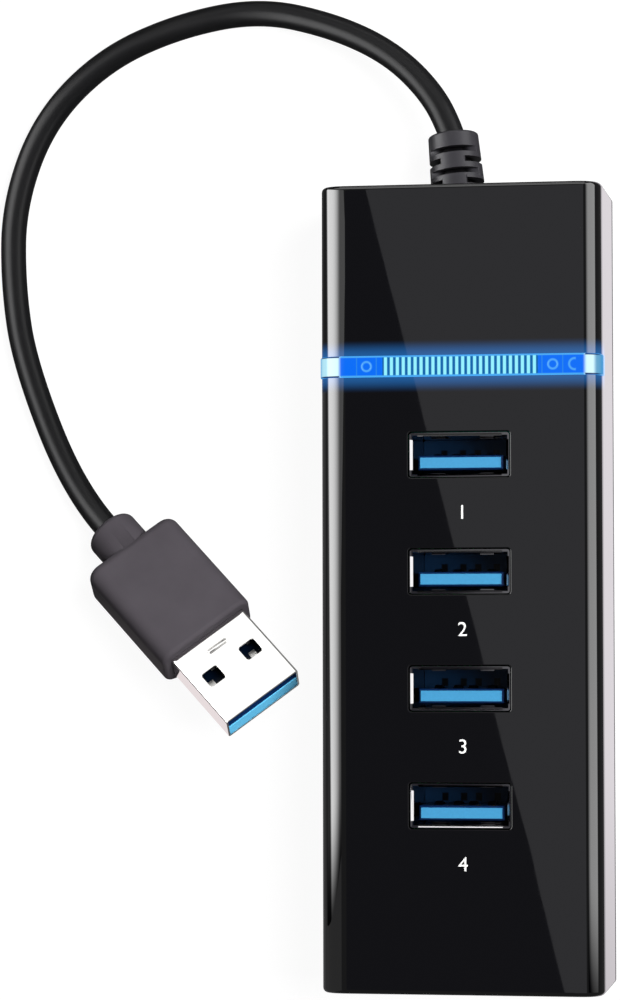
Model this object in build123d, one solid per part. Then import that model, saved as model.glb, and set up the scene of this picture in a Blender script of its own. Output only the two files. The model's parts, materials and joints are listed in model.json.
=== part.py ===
"""Four-port USB hub: a glossy bar with upward sockets, a lit cross bar and a captive lead with its plug.

Frame: millimetres, +Z up with the sockets facing up, +Y along the bar towards the lead, origin on the
surface that the feet stand on, under the middle of the housing.
"""
from build123d import *
from math import pi, radians, tan
import os

# Housing, outside sizes. HEIGHT runs from the surface under the feet to the top face.
WIDTH = 37.0
LENGTH = 105.5
HEIGHT = 21.0
LONG_EDGE_RADIUS = 3.0
CORNER_RADIUS = 0.6

# Housing walls.
SIDE_WALL = 1.8
END_WALL = 2.0
TOP_WALL = 2.0

# Base cover: a plate under the walls with a lip that locates inside them.
FOOT_PROUD = 0.6
BASE_THICKNESS = 2.0
BASE_CHAMFER = 0.5
LIP_HEIGHT = 1.6
LIP_THICKNESS = 1.2
LIP_CLEARANCE = 0.15

# Rubber feet in shallow recesses under the base.
FOOT_DIAMETER = 7.0
FOOT_RECESS = 0.4
FOOT_CLEARANCE = 0.05
FOOT_INSET_X = 5.7
FOOT_INSET_Y = 15.75

# Screws: head seated in the base, shank in a boss of the top cover.
SCREW_INSET_X = 5.1
SCREW_INSET_Y = 5.4
SCREW_DIAMETER = 2.2
SCREW_LENGTH = 9.0
SCREW_CLEARANCE = 0.1
HEAD_DIAMETER = 4.0
HEAD_HEIGHT = 1.4
HEAD_CLEARANCE = 0.2
HEAD_SEAT_DEPTH = 1.8
CROSS_WIDTH = 0.5
CROSS_SPAN = 2.2
CROSS_DEPTH = 0.8
BOSS_DIAMETER = 5.0
BASE_BOSS_DIAMETER = 6.0
BASE_BOSS_HEIGHT = 1.8
BOSS_HOLE_SPARE = 1.1

# Circuit board on four posts of the base, set in from the walls.
BOARD_SIDE_GAP = 1.2
BOARD_END_GAP = 6.75
BOARD_THICKNESS = 1.6
BOARD_CORNER = 1.0
BOARD_STANDOFF = 2.4
POST_DIAMETER = 4.0
POST_INSET_X = 3.3
POST_INSET_Y = 6.0
PIN_DIAMETER = 2.0
PIN_HEIGHT = 1.4
PIN_CLEARANCE = 0.1

# Sockets: USB type A receptacles that stand upright on the board, in a row set in from both ends.
PORT_COUNT = 4
FIRST_PORT_INSET = 35.45
LAST_PORT_INSET = 24.45
SOCKET_WIDTH = 13.1
SOCKET_DEPTH = 5.72
SOCKET_WALL = 0.3
SOCKET_CORNER = 0.6
MOUTH_RECESS = 0.2
WINDOW_CLEARANCE = 0.15
SOCKET_BASE_HEIGHT = 2.0
SOCKET_LEG_WIDTH = 2.0
SOCKET_LEG_CLEARANCE = 0.2
TAIL_PROUD = 0.8
SLEEVE_CLEARANCE = 0.03

# Spring tabs pressed out of the broad sides of each socket shell, which hold an inserted plug.
TAB_X = 3.2
TAB_WIDTH = 1.8
TAB_LENGTH = 5.0
TAB_ROOT_HEIGHT = 3.6
TAB_SET = 0.3
TAB_GAP = 0.3
TAB_HOOK_LENGTH = 0.9

# Tongue of a socket, off centre towards -Y.
TONGUE_WIDTH = 11.1
TONGUE_THICKNESS = 1.84
TONGUE_OFFSET = 0.98
TONGUE_RECESS = 1.4
TONGUE_CHAMFER = 0.25

# Contacts of a USB 3 pair: four power and data contacts, and five fast ones.
POWER_CONTACT_X = (-3.5, -1.0, 1.0, 3.5)
FAST_CONTACT_X = (-4.0, -2.0, 0.0, 2.0, 4.0)
SPRING_WIDTH = 1.0
SPRING_THICKNESS = 0.2
SPRING_ROOT_DEPTH = 0.5
SPRING_PROUD = 0.45
SPRING_TIP_DEPTH = 0.25
SPRING_PIVOT_HEIGHT = 0.6
SPRING_BULGE_HEIGHT = 6.0
SPRING_TIP_HEIGHT = 7.9
SPRING_SPLIT = 0.05
GROOVE_CLEARANCE = 0.05
GROOVE_DEPTH = 1.0
GROOVE_END_CLEARANCE = 0.3
PAD_WIDTH = 0.66
PAD_THICKNESS = 0.15
PAD_LENGTH = 1.9
PAD_TIP_INSET = 0.4
CONDUCTOR_DEPTH = 1.25
CONDUCTOR_THICKNESS = 0.2
TAIL_CLEARANCE = 0.12

# Light bar across the top cover, with a blade that takes the light of the lamps on the board.
LIGHT_INSET = 23.85
LIGHT_WIDTH = 2.7
LIGHT_PROUD = 0.18
LIGHT_DEPTH = 1.2
LIGHT_END_DROP = 4.0
LIGHT_CLEARANCE = 0.05
BLADE_INSET = 1.0
BLADE_THICKNESS = 1.2
BLADE_LAMP_GAP = 0.6
RIB_COUNT = 26
RIB_PITCH = 0.78
RIB_GROOVE_WIDTH = 0.3
RIB_GROOVE_DEPTH = 0.12

# Electronics on the board: (length in X, length in Y, height) of each package, its X, and how far it
# is set in from the nearer end of the board.
CONTROLLER_SIZE = (9.0, 9.0, 0.9)
CONTROLLER_X = -1.0
CONTROLLER_INSET = 7.4
CRYSTAL_SIZE = (5.0, 3.2, 1.2)
CRYSTAL_X = 7.4
CRYSTAL_INSET = 10.0
REGULATOR_SIZE = (6.5, 3.5, 1.7)
REGULATOR_X = -5.0
POWER_INSET = 5.5
BULK_DIAMETER = 6.3
BULK_HEIGHT = 7.7
BULK_BASE_HEIGHT = 0.8
BULK_X = 4.0
LAMP_SIZE = (3.5, 2.8, 1.9)
LAMP_LEFT_INSET = 3.4
LAMP_RIGHT_INSET = 3.2
LAMP_MIDDLE_X = 5.0
LAMP_WELL_DIAMETER = 2.2
LAMP_WELL_DEPTH = 0.6
FUSE_SIZE = (4.5, 3.2, 0.9)
FUSE_X = 11.0
CAPACITOR_SIZE = (2.0, 1.25, 0.9)
CAPACITOR_X = -9.4
RESISTOR_SIZE = (1.6, 0.8, 0.5)
RESISTOR_X = (-6.0, -2.0, 2.0, 6.0)
RESISTOR_GAP = 5.3
CHIP_END = 0.35

# Lead: its strain relief, the part inside the housing and its conductors.
CORD_DIAMETER = 3.5
GLAND_X = -1.35
GLAND_Z = 9.5
GLAND_LEAN = 6.0
GLAND_DROOP = 6.0
NECK_DIAMETER = 5.6
NECK_CLEARANCE = 0.1
FLANGE_DIAMETER = 8.6
FLANGE_THICKNESS = 1.5
RELIEF_LENGTH = 8.0
RELIEF_BASE_DIAMETER = 7.3
RELIEF_TIP_DIAMETER = 6.7
RELIEF_TIP_ROUND = 0.5
RELIEF_CORE_DIAMETER = 4.7
RELIEF_SLOT_WIDTH = 0.65
RELIEF_SLOT_FIRST = 2.3
RELIEF_SLOT_PITCH = 1.45
RELIEF_SLOT_COUNT = 4
RELIEF_BRIDGE_WIDTH = 3.2
BORE_CLEARANCE = 0.03
INNER_LEAD_LENGTH = 3.0
WIRE_DIAMETER = 0.7
WIRE_GRID = 0.95
WIRE_PAD_PITCH = 1.5
WIRE_PAD_INSET = 2.0
WIRE_BEND_INSET = 0.9
WIRE_BEND_RISE = 1.6
WIRE_BEND_RADIUS = 0.8

# Plug: USB type A, its axis tipped up a little by the stiff lead and rolled a little on the surface.
PLUG_HEADING = -45.5
PLUG_TIP_UP = 16.0
PLUG_ROLL = -22.0
PLUG_SHELL_WIDTH = 12.0
PLUG_SHELL_DEPTH = 4.5
PLUG_SHELL_WALL = 0.3
PLUG_SHELL_CORNER = 0.5
PLUG_SHELL_EXPOSED = 12.0
PLUG_SHELL_BURIED = 6.0
PLUG_INSULATOR_THICKNESS = 1.95
PLUG_CAVITY_DEPTH = 10.8
PLUG_FRONT_INSET = 0.15
BOOT_WIDTH = 14.6
BOOT_DEPTH = 7.8
BOOT_LENGTH = 17.5
BOOT_EDGE_RADIUS = 2.4
BOOT_REAR_RADIUS = 1.4
BOOT_FRONT_CHAMFER = 0.6
BOOT_NECK_DIAMETER = 7.2
BOOT_NECK_LENGTH = 4.8
BOOT_NECK_ROUND = 0.9
LATCH_WIDTH = 2.5
LATCH_LENGTH = 2.3
LATCH_X = 3.1
LATCH_INSET = 6.5
PRESS_SLOT_LENGTH = 3.2
PRESS_SLOT_WIDTH = 0.7
PRESS_SLOT_DEPTH = 0.15
PRESS_SLOT_INSET = 9.7
PLUG_PAD_INSET = 0.9
PLUG_PAD_LENGTH = 6.3
PLUG_CONDUCTOR_DEPTH = 1.0
PLUG_SPRING_WIDTH = 0.6
PLUG_SPRING_THICKNESS = 0.15
PLUG_SPRING_PIVOT_INSET = 13.0
PLUG_SPRING_BULGE_INSET = 9.2
PLUG_SPRING_TIP_INSET = 8.3
PLUG_SPRING_ROOT_DEPTH = 0.25
PLUG_SPRING_PROUD = 0.35
PLUG_SPRING_TIP_DEPTH = 0.05
PLUG_GROOVE_DEPTH = 0.75
PLUG_GROOVE_RISE = 0.35
PLUG_TAIL_PROUD = 0.8
PLUG_WIRE_LENGTH = 2.2
PLUG_WIRE_DIAMETER = 0.5
PLUG_WIRE_SPREAD = 0.32
PLUG_ROOM_CLEARANCE = 0.1

# Route of the free lead from the strain relief to the plug, in plan: X, and Y from the housing's end
# face. The heights follow below.
CORD_OFFSETS = (
    (-5.0, 13.8),
    (-10.8, 19.7),
    (-19.2, 24.1),
    (-29.8, 27.0),
    (-41.2, 25.1),
    (-51.8, 20.6),
    (-60.2, 12.25),
    (-64.4, 0.85),
    (-64.5, -10.35),
    (-62.8, -21.5),
    (-55.7, -39.2),
    (-50.4, -44.45),
)
CORD_FALL = (0.8, 2.2, 4.6)
BEND_SHARE = 0.45

# Levels and faces that several pieces share.
BASE_Z = FOOT_PROUD
PARTING_Z = BASE_Z + BASE_THICKNESS
CEILING_Z = HEIGHT - TOP_WALL
HALF_WIDTH = WIDTH / 2
HALF_LENGTH = LENGTH / 2
INNER_WIDTH = WIDTH - 2 * SIDE_WALL
INNER_LENGTH = LENGTH - 2 * END_WALL
BOARD_WIDTH = INNER_WIDTH - 2 * BOARD_SIDE_GAP
BOARD_LENGTH = INNER_LENGTH - 2 * BOARD_END_GAP
BOARD_Z = PARTING_Z + BOARD_STANDOFF
BOARD_TOP_Z = BOARD_Z + BOARD_THICKNESS
BASE_BOSS_TOP_Z = PARTING_Z + BASE_BOSS_HEIGHT
HEAD_SEAT_Z = BASE_Z + HEAD_SEAT_DEPTH
MOUTH_Z = HEIGHT - MOUTH_RECESS
SOCKET_FLOOR_Z = BOARD_TOP_Z + SOCKET_BASE_HEIGHT
TONGUE_TIP_Z = MOUTH_Z - TONGUE_RECESS
CONTACT_FACE_Y = TONGUE_THICKNESS / 2 - TONGUE_OFFSET
TAIL_END_Z = BOARD_Z - TAIL_PROUD
SPRING_PIVOT_Z = SOCKET_FLOOR_Z + SPRING_PIVOT_HEIGHT
SPRING_PIVOT_Y = CONTACT_FACE_Y - SPRING_ROOT_DEPTH
CONDUCTOR_Y = CONTACT_FACE_Y - CONDUCTOR_DEPTH - CONDUCTOR_THICKNESS / 2
PORT_PITCH = (LENGTH - FIRST_PORT_INSET - LAST_PORT_INSET) / (PORT_COUNT - 1)
PORT_Y = [HALF_LENGTH - FIRST_PORT_INSET - PORT_PITCH * index for index in range(PORT_COUNT)]
LIGHT_Y = HALF_LENGTH - LIGHT_INSET
LIGHT_END_Z = HEIGHT - LIGHT_END_DROP
BLADE_LENGTH = BOARD_WIDTH - 2 * BLADE_INSET
CONTROLLER_PLACE = (CONTROLLER_X, BOARD_LENGTH / 2 - CONTROLLER_INSET)
CRYSTAL_PLACE = (CRYSTAL_X, BOARD_LENGTH / 2 - CRYSTAL_INSET)
REGULATOR_PLACE = (REGULATOR_X, POWER_INSET - BOARD_LENGTH / 2)
BULK_PLACE = (BULK_X, POWER_INSET - BOARD_LENGTH / 2)
LAMP_X = (
    LAMP_LEFT_INSET - BOARD_WIDTH / 2,
    -LAMP_MIDDLE_X,
    LAMP_MIDDLE_X,
    BOARD_WIDTH / 2 - LAMP_RIGHT_INSET,
)
RESISTOR_Y = LIGHT_Y - RESISTOR_GAP
CORD_PLAN = [(x, HALF_LENGTH + y) for x, y in CORD_OFFSETS[:-1]]
CORD_END = (CORD_OFFSETS[-1][0], HALF_LENGTH + CORD_OFFSETS[-1][1])
SCREW_PLACES = [
    (x, y)
    for x in (SCREW_INSET_X - HALF_WIDTH, HALF_WIDTH - SCREW_INSET_X)
    for y in (SCREW_INSET_Y - HALF_LENGTH, HALF_LENGTH - SCREW_INSET_Y)
]
FOOT_PLACES = [
    (x, y)
    for x in (FOOT_INSET_X - HALF_WIDTH, HALF_WIDTH - FOOT_INSET_X)
    for y in (FOOT_INSET_Y - HALF_LENGTH, HALF_LENGTH - FOOT_INSET_Y)
]
POST_PLACES = [
    (x, y)
    for x in (POST_INSET_X - BOARD_WIDTH / 2, BOARD_WIDTH / 2 - POST_INSET_X)
    for y in (POST_INSET_Y - BOARD_LENGTH / 2, BOARD_LENGTH / 2 - POST_INSET_Y)
]
# Room for cuts that have to pass right through a wall.
THROUGH = 50.0


def block(x_range, y_range, z_range):
    """A box between two limits on each axis."""
    size = [high - low for low, high in (x_range, y_range, z_range)]
    middle = [(high + low) / 2 for low, high in (x_range, y_range, z_range)]
    return Pos(*middle) * Box(*size)


def centred(middle, size):
    """The two limits of a span, from its middle and its size."""
    return (middle - size / 2, middle + size / 2)


def column(x, y, z_range, diameter):
    """A round column upright at (x, y) between two heights."""
    low, high = z_range
    return Pos(x, y, (low + high) / 2) * Cylinder(diameter / 2, high - low)


def rounded_block(width, length, z_range, radius):
    """An upright block about the Z axis with rounded vertical edges."""
    low, high = z_range
    outline = RectangleRounded(width, length, radius)
    return Pos(0, 0, low) * extrude(outline, amount=high - low)


def joined(pieces):
    """One shape made of all the pieces, which may touch or stand apart."""
    total = pieces[0]
    for piece in pieces[1:]:
        total = total + piece
    return total


def grouped(pieces):
    """Separate solids kept side by side as one sub-part."""
    solids = []
    for piece in pieces:
        solids.extend(piece.solids())
    return Compound(solids)


def cover_section(margin, bottom_z):
    """Cross-section of the housing's top, grown by a margin, as a sketch in the XZ plane."""
    half = HALF_WIDTH + margin
    top = HEIGHT + margin
    radius = LONG_EDGE_RADIUS + margin
    outline = Polyline((half, top - radius), (half, bottom_z), (-half, bottom_z), (-half, top - radius))
    left = CenterArc((radius - half, top - radius), radius, 180, -90)
    right = CenterArc((half - radius, top - radius), radius, 90, -90)
    crown = Line((radius - half, top), (half - radius, top))
    return Plane.XZ * make_face([*outline.edges(), *left.edges(), *crown.edges(), *right.edges()])


def cover_prism(margin, bottom_z, y_range):
    """The housing's section drawn out along Y between two limits."""
    low, high = y_range
    return Pos(0, high, 0) * extrude(cover_section(margin, bottom_z), amount=high - low)


def make_top_cover():
    """Glossy upper shell: walls, bosses, hold-down posts, socket windows and the light bar's groove."""
    outer = cover_prism(0, PARTING_Z, (-HALF_LENGTH, HALF_LENGTH))
    ends = (outer.faces().sort_by(Axis.Y)[0], outer.faces().sort_by(Axis.Y)[-1])
    end_edges = [edge for end in ends for edge in end.edges() if edge.center().Z > PARTING_Z + CORNER_RADIUS]
    outer = fillet(end_edges, CORNER_RADIUS)
    cavity = cover_prism(-SIDE_WALL, 0, (-INNER_LENGTH / 2, INNER_LENGTH / 2))
    cavity = cavity & block(centred(0, INNER_WIDTH), centred(0, INNER_LENGTH), (0, CEILING_Z))
    shell = outer - cavity
    bosses = [column(x, y, (BASE_BOSS_TOP_Z, CEILING_Z), BOSS_DIAMETER) for x, y in SCREW_PLACES]
    posts = [column(x, y, (BOARD_TOP_Z, CEILING_Z), POST_DIAMETER) for x, y in POST_PLACES]
    shell = joined([shell, *bosses, *posts])
    hole_diameter = SCREW_DIAMETER + 2 * SCREW_CLEARANCE
    hole_top = HEAD_SEAT_Z + SCREW_LENGTH + BOSS_HOLE_SPARE
    for x, y in SCREW_PLACES:
        shell -= column(x, y, (0, hole_top), hole_diameter)
    for y in PORT_Y:
        window = RectangleRounded(
            SOCKET_WIDTH + 2 * WINDOW_CLEARANCE,
            SOCKET_DEPTH + 2 * WINDOW_CLEARANCE,
            SOCKET_CORNER + WINDOW_CLEARANCE,
        )
        shell -= Pos(0, y, CEILING_Z - 1) * extrude(window, amount=TOP_WALL + 2)
    shell -= light_bar_arch(LIGHT_CLEARANCE)
    shell -= light_bar_blade(LIGHT_CLEARANCE)
    shell -= gland_notch(NECK_CLEARANCE)
    return shell


def gland_notch(clearance):
    """The notch in the end wall that the strain relief's neck drops into from below."""
    radius = NECK_DIAMETER / 2 + clearance
    wall = (HALF_LENGTH - END_WALL - 1, HALF_LENGTH + 1)
    round_top = Pos(GLAND_X, (wall[0] + wall[1]) / 2, GLAND_Z) * Rot(90, 0, 0)
    round_top = round_top * Cylinder(radius, wall[1] - wall[0])
    return round_top + block(centred(GLAND_X, 2 * radius), wall, (0, GLAND_Z))


def make_base_cover():
    """Matt lower plate: locating lip, screw seats, board posts, foot recesses and the gland's tongue."""
    plate = rounded_block(WIDTH, LENGTH, (BASE_Z, PARTING_Z), CORNER_RADIUS)
    plate = chamfer(plate.faces().sort_by(Axis.Z)[0].edges(), BASE_CHAMFER)
    lip_width = INNER_WIDTH - 2 * LIP_CLEARANCE
    lip_length = INNER_LENGTH - 2 * LIP_CLEARANCE
    lip_z = (PARTING_Z, PARTING_Z + LIP_HEIGHT)
    lip = block(centred(0, lip_width), centred(0, lip_length), lip_z)
    lip -= block(
        centred(0, lip_width - 2 * LIP_THICKNESS),
        centred(0, lip_length - 2 * LIP_THICKNESS),
        lip_z,
    )
    bosses = [column(x, y, (PARTING_Z, BASE_BOSS_TOP_Z), BASE_BOSS_DIAMETER) for x, y in SCREW_PLACES]
    posts = [column(x, y, (PARTING_Z, BOARD_Z), POST_DIAMETER) for x, y in POST_PLACES]
    pins = [column(x, y, (BOARD_Z, BOARD_Z + PIN_HEIGHT), PIN_DIAMETER) for x, y in POST_PLACES]
    tongue_width = NECK_DIAMETER
    tongue = block(
        centred(GLAND_X, tongue_width),
        (HALF_LENGTH - END_WALL, HALF_LENGTH),
        (PARTING_Z, GLAND_Z),
    )
    neck_room = Pos(GLAND_X, HALF_LENGTH, GLAND_Z) * Rot(90, 0, 0)
    neck_room = neck_room * Cylinder(NECK_DIAMETER / 2 + NECK_CLEARANCE, 4 * END_WALL)
    tongue -= neck_room
    tongue = tongue.solids().sort_by(Axis.Z)[0]
    base = joined([plate, lip, *bosses, *posts, *pins, tongue])
    for x, y in SCREW_PLACES:
        base -= column(x, y, (0, HEAD_SEAT_Z), HEAD_DIAMETER + 2 * HEAD_CLEARANCE)
        base -= column(x, y, (0, BASE_BOSS_TOP_Z + 1), SCREW_DIAMETER + 2 * SCREW_CLEARANCE)
    for x, y in FOOT_PLACES:
        base -= column(x, y, (0, BASE_Z + FOOT_RECESS), FOOT_DIAMETER + 2 * FOOT_CLEARANCE)
    return base


def light_bar_arch(clearance):
    """The bar that follows the cover's rounded top, or the groove for it when given a clearance."""
    y_range = centred(LIGHT_Y, LIGHT_WIDTH + 2 * clearance)
    outer = cover_prism(LIGHT_PROUD + clearance, LIGHT_END_Z - clearance, y_range)
    inner = cover_prism(-LIGHT_DEPTH - clearance, 0, centred(LIGHT_Y, 2 * LIGHT_WIDTH))
    return outer - inner


def light_bar_blade(clearance):
    """The blade under the bar that reaches down to the lamps, or its slot when given a clearance."""
    lamp_top = BOARD_TOP_Z + LAMP_SIZE[2]
    return block(
        centred(0, BLADE_LENGTH + 2 * clearance),
        centred(LIGHT_Y, BLADE_THICKNESS + 2 * clearance),
        (lamp_top + BLADE_LAMP_GAP - clearance, HEIGHT - LIGHT_DEPTH / 2),
    )


def make_light_bar():
    """Clear light bar with its blade, and fine ribs across the middle of its top."""
    bar = light_bar_arch(0) + light_bar_blade(0)
    top = HEIGHT + LIGHT_PROUD
    for index in range(RIB_COUNT + 1):
        x = (index - RIB_COUNT / 2) * RIB_PITCH
        bar -= block(
            centred(x, RIB_GROOVE_WIDTH),
            centred(LIGHT_Y, LIGHT_WIDTH - 2 * RIB_GROOVE_WIDTH),
            (top - RIB_GROOVE_DEPTH, top + 1),
        )
    return bar


def make_rubber_feet():
    """Four round pads with a rounded lower edge."""
    feet = []
    for x, y in FOOT_PLACES:
        foot = column(x, y, (0, BASE_Z + FOOT_RECESS), FOOT_DIAMETER)
        lower_edge = foot.edges().group_by(Axis.Z)[0]
        feet.append(fillet(lower_edge, FOOT_RECESS / 2))
    return grouped(feet)


def make_case_screws():
    """Four cross-head screws that clamp the base to the cover's bosses."""
    screws = []
    for x, y in SCREW_PLACES:
        head = column(x, y, (HEAD_SEAT_Z - HEAD_HEIGHT, HEAD_SEAT_Z), HEAD_DIAMETER)
        head = chamfer(head.edges().group_by(Axis.Z)[0], HEAD_HEIGHT / 4)
        shank = column(x, y, (HEAD_SEAT_Z, HEAD_SEAT_Z + SCREW_LENGTH), SCREW_DIAMETER)
        shank = chamfer(shank.edges().group_by(Axis.Z)[-1], SCREW_DIAMETER / 4)
        screw = head + shank
        cross_z = (HEAD_SEAT_Z - HEAD_HEIGHT - 1, HEAD_SEAT_Z - HEAD_HEIGHT + CROSS_DEPTH)
        screw -= block(centred(x, CROSS_SPAN), centred(y, CROSS_WIDTH), cross_z)
        screw -= block(centred(x, CROSS_WIDTH), centred(y, CROSS_SPAN), cross_z)
        screws.append(screw)
    return grouped(screws)


def make_circuit_board():
    """Board with holes for the base's pins and for each socket's tails and legs."""
    board = rounded_block(BOARD_WIDTH, BOARD_LENGTH, (BOARD_Z, BOARD_TOP_Z), BOARD_CORNER)
    depth = (BOARD_Z - 1, BOARD_TOP_Z + 1)
    for x, y in POST_PLACES:
        board -= column(x, y, depth, PIN_DIAMETER + 2 * PIN_CLEARANCE)
    for port_y in PORT_Y:
        for x in POWER_CONTACT_X:
            board -= tail_hole(x, port_y + SPRING_PIVOT_Y, SPRING_WIDTH / 2, SPRING_THICKNESS)
        for x in FAST_CONTACT_X:
            board -= tail_hole(x, port_y + CONDUCTOR_Y, PAD_WIDTH, CONDUCTOR_THICKNESS)
        for side in (-1, 1):
            x = side * (SOCKET_WIDTH - SOCKET_WALL) / 2
            board -= block(
                centred(x, SOCKET_WALL + 2 * SOCKET_LEG_CLEARANCE),
                centred(port_y, SOCKET_LEG_WIDTH + 2 * SOCKET_LEG_CLEARANCE),
                depth,
            )
    return board


def tail_hole(x, y, width, thickness):
    """A slot through the board for one contact tail."""
    return block(
        centred(x, width + 2 * TAIL_CLEARANCE),
        centred(y, thickness + 2 * TAIL_CLEARANCE),
        (BOARD_Z - 1, BOARD_TOP_Z + 1),
    )


def chip(place, size):
    """A plain package that stands on the board."""
    return block(
        centred(place[0], size[0]),
        centred(place[1], size[1]),
        (BOARD_TOP_Z, BOARD_TOP_Z + size[2]),
    )


def chip_with_ends(place, size):
    """A two-terminal package whose end caps stand a little proud of its body."""
    body_size = (size[0] - 2 * CHIP_END, size[1] - CHIP_END / 3, size[2] - CHIP_END / 3)
    body = chip(place, body_size)
    caps = []
    for side in (-1, 1):
        cap_place = (place[0] + side * (size[0] - CHIP_END) / 2, place[1])
        caps.append(chip(cap_place, (CHIP_END, size[1], size[2])))
    return joined([body, *caps])


def make_hub_controller():
    """Flat controller package with a marked corner."""
    body = chip(CONTROLLER_PLACE, CONTROLLER_SIZE)
    body = chamfer(body.edges().filter_by(Axis.Z).sort_by(Axis.X)[0:1], CONTROLLER_SIZE[2])
    dot_x = CONTROLLER_PLACE[0] - CONTROLLER_SIZE[0] / 3
    dot_y = CONTROLLER_PLACE[1] - CONTROLLER_SIZE[1] / 3
    top = BOARD_TOP_Z + CONTROLLER_SIZE[2]
    return body - column(dot_x, dot_y, (top - CONTROLLER_SIZE[2] / 6, top + 1), CONTROLLER_SIZE[2])


def make_crystal():
    """Metal-lidded crystal package."""
    body = chip(CRYSTAL_PLACE, CRYSTAL_SIZE)
    return fillet(body.edges().filter_by(Axis.Z), CRYSTAL_SIZE[2] / 3)


def make_voltage_regulator():
    """Regulator with a cooling tab on one side and three legs on the other."""
    body = chip(REGULATOR_PLACE, REGULATOR_SIZE)
    width, depth, height = REGULATOR_SIZE
    x, y = REGULATOR_PLACE
    tab_size = (width / 2, depth / 2, height / 6)
    pieces = [body, chip((x, y + (depth + tab_size[1]) / 2), tab_size)]
    for offset in (-1, 0, 1):
        leg_place = (x + offset * width / 3, y - (depth + tab_size[1]) / 2)
        pieces.append(chip(leg_place, (width / 9, tab_size[1], height / 6)))
    return joined(pieces)


def make_bulk_capacitor():
    """Upright can on a square foot."""
    x, y = BULK_PLACE
    foot = chip(BULK_PLACE, (BULK_DIAMETER, BULK_DIAMETER, BULK_BASE_HEIGHT))
    can = column(x, y, (BOARD_TOP_Z + BULK_BASE_HEIGHT, BOARD_TOP_Z + BULK_HEIGHT), BULK_DIAMETER)
    can = fillet(can.edges().group_by(Axis.Z)[-1], BULK_DIAMETER / 20)
    return foot + can


def make_status_lamps():
    """Side by side lamps under the light bar's blade, each with a round well in its top."""
    lamps = []
    top = BOARD_TOP_Z + LAMP_SIZE[2]
    for x in LAMP_X:
        lamp = chip((x, LIGHT_Y), LAMP_SIZE)
        lamps.append(lamp - column(x, LIGHT_Y, (top - LAMP_WELL_DEPTH, top + 1), LAMP_WELL_DIAMETER))
    return grouped(lamps)


def make_socket_shell(port_y):
    """Steel tube of a socket with four spring tabs and two board legs."""
    height = MOUTH_Z - BOARD_TOP_Z
    outer = RectangleRounded(SOCKET_WIDTH, SOCKET_DEPTH, SOCKET_CORNER)
    inner = RectangleRounded(
        SOCKET_WIDTH - 2 * SOCKET_WALL,
        SOCKET_DEPTH - 2 * SOCKET_WALL,
        SOCKET_CORNER - SOCKET_WALL,
    )
    tube = Pos(0, 0, BOARD_TOP_Z) * extrude(outer - inner, amount=height)
    root_z = SOCKET_FLOOR_Z + TAB_ROOT_HEIGHT
    tip_z = root_z + TAB_LENGTH
    middle_y = (SOCKET_DEPTH - SOCKET_WALL) / 2
    pieces = []
    for side in (-1, 1):
        for x in (-TAB_X, TAB_X):
            tube -= block(
                centred(x, TAB_WIDTH + 2 * TAB_GAP),
                centred(side * middle_y, 2 * SOCKET_WALL),
                (root_z, tip_z + TAB_GAP),
            )
            outside = SOCKET_DEPTH / 2
            inside = SOCKET_DEPTH / 2 - SOCKET_WALL
            profile = Polyline(
                (side * outside, root_z - SOCKET_WALL),
                (side * inside, root_z - SOCKET_WALL),
                (side * (inside - TAB_SET), tip_z - TAB_HOOK_LENGTH),
                (side * (inside - TAB_SET / 2), tip_z),
                (side * (outside - TAB_SET / 2), tip_z),
                (side * (outside - TAB_SET), tip_z - TAB_HOOK_LENGTH),
                close=True,
            )
            tab = extrude(Plane.YZ * make_face(profile), amount=TAB_WIDTH)
            pieces.append(Pos(x - TAB_WIDTH / 2, 0, 0) * tab)
        leg_x = side * (SOCKET_WIDTH - SOCKET_WALL) / 2
        pieces.append(
            block(centred(leg_x, SOCKET_WALL), centred(0, SOCKET_LEG_WIDTH), (TAIL_END_Z, BOARD_TOP_Z + 1))
        )
    return Pos(0, port_y, 0) * joined([tube, *pieces])


def make_socket_insulator(port_y):
    """Moulded base and tongue of a socket, with grooves for its contacts."""
    gap = SOCKET_WALL + SLEEVE_CLEARANCE
    base = RectangleRounded(
        SOCKET_WIDTH - 2 * gap,
        SOCKET_DEPTH - 2 * gap,
        SOCKET_CORNER - SOCKET_WALL,
    )
    body = Pos(0, 0, BOARD_TOP_Z) * extrude(base, amount=SOCKET_FLOOR_Z - BOARD_TOP_Z)
    tongue = block(
        centred(0, TONGUE_WIDTH),
        centred(-TONGUE_OFFSET, TONGUE_THICKNESS),
        (BOARD_TOP_Z, TONGUE_TIP_Z),
    )
    tongue = chamfer(tongue.faces().sort_by(Axis.Z)[-1].edges(), TONGUE_CHAMFER)
    body = body + tongue
    for x in POWER_CONTACT_X:
        body -= block(
            centred(x, SPRING_WIDTH + 2 * GROOVE_CLEARANCE),
            (CONTACT_FACE_Y - GROOVE_DEPTH, CONTACT_FACE_Y + 1),
            (SOCKET_FLOOR_Z, SOCKET_FLOOR_Z + SPRING_TIP_HEIGHT + GROOVE_END_CLEARANCE),
        )
        body -= block(
            centred(x, SPRING_WIDTH / 2 + 2 * SLEEVE_CLEARANCE),
            centred(SPRING_PIVOT_Y, SPRING_THICKNESS + 2 * SLEEVE_CLEARANCE),
            (0, SOCKET_FLOOR_Z),
        )
    for x in FAST_CONTACT_X:
        body -= front_contact(x, SLEEVE_CLEARANCE)
    return Pos(0, port_y, 0) * body


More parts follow.
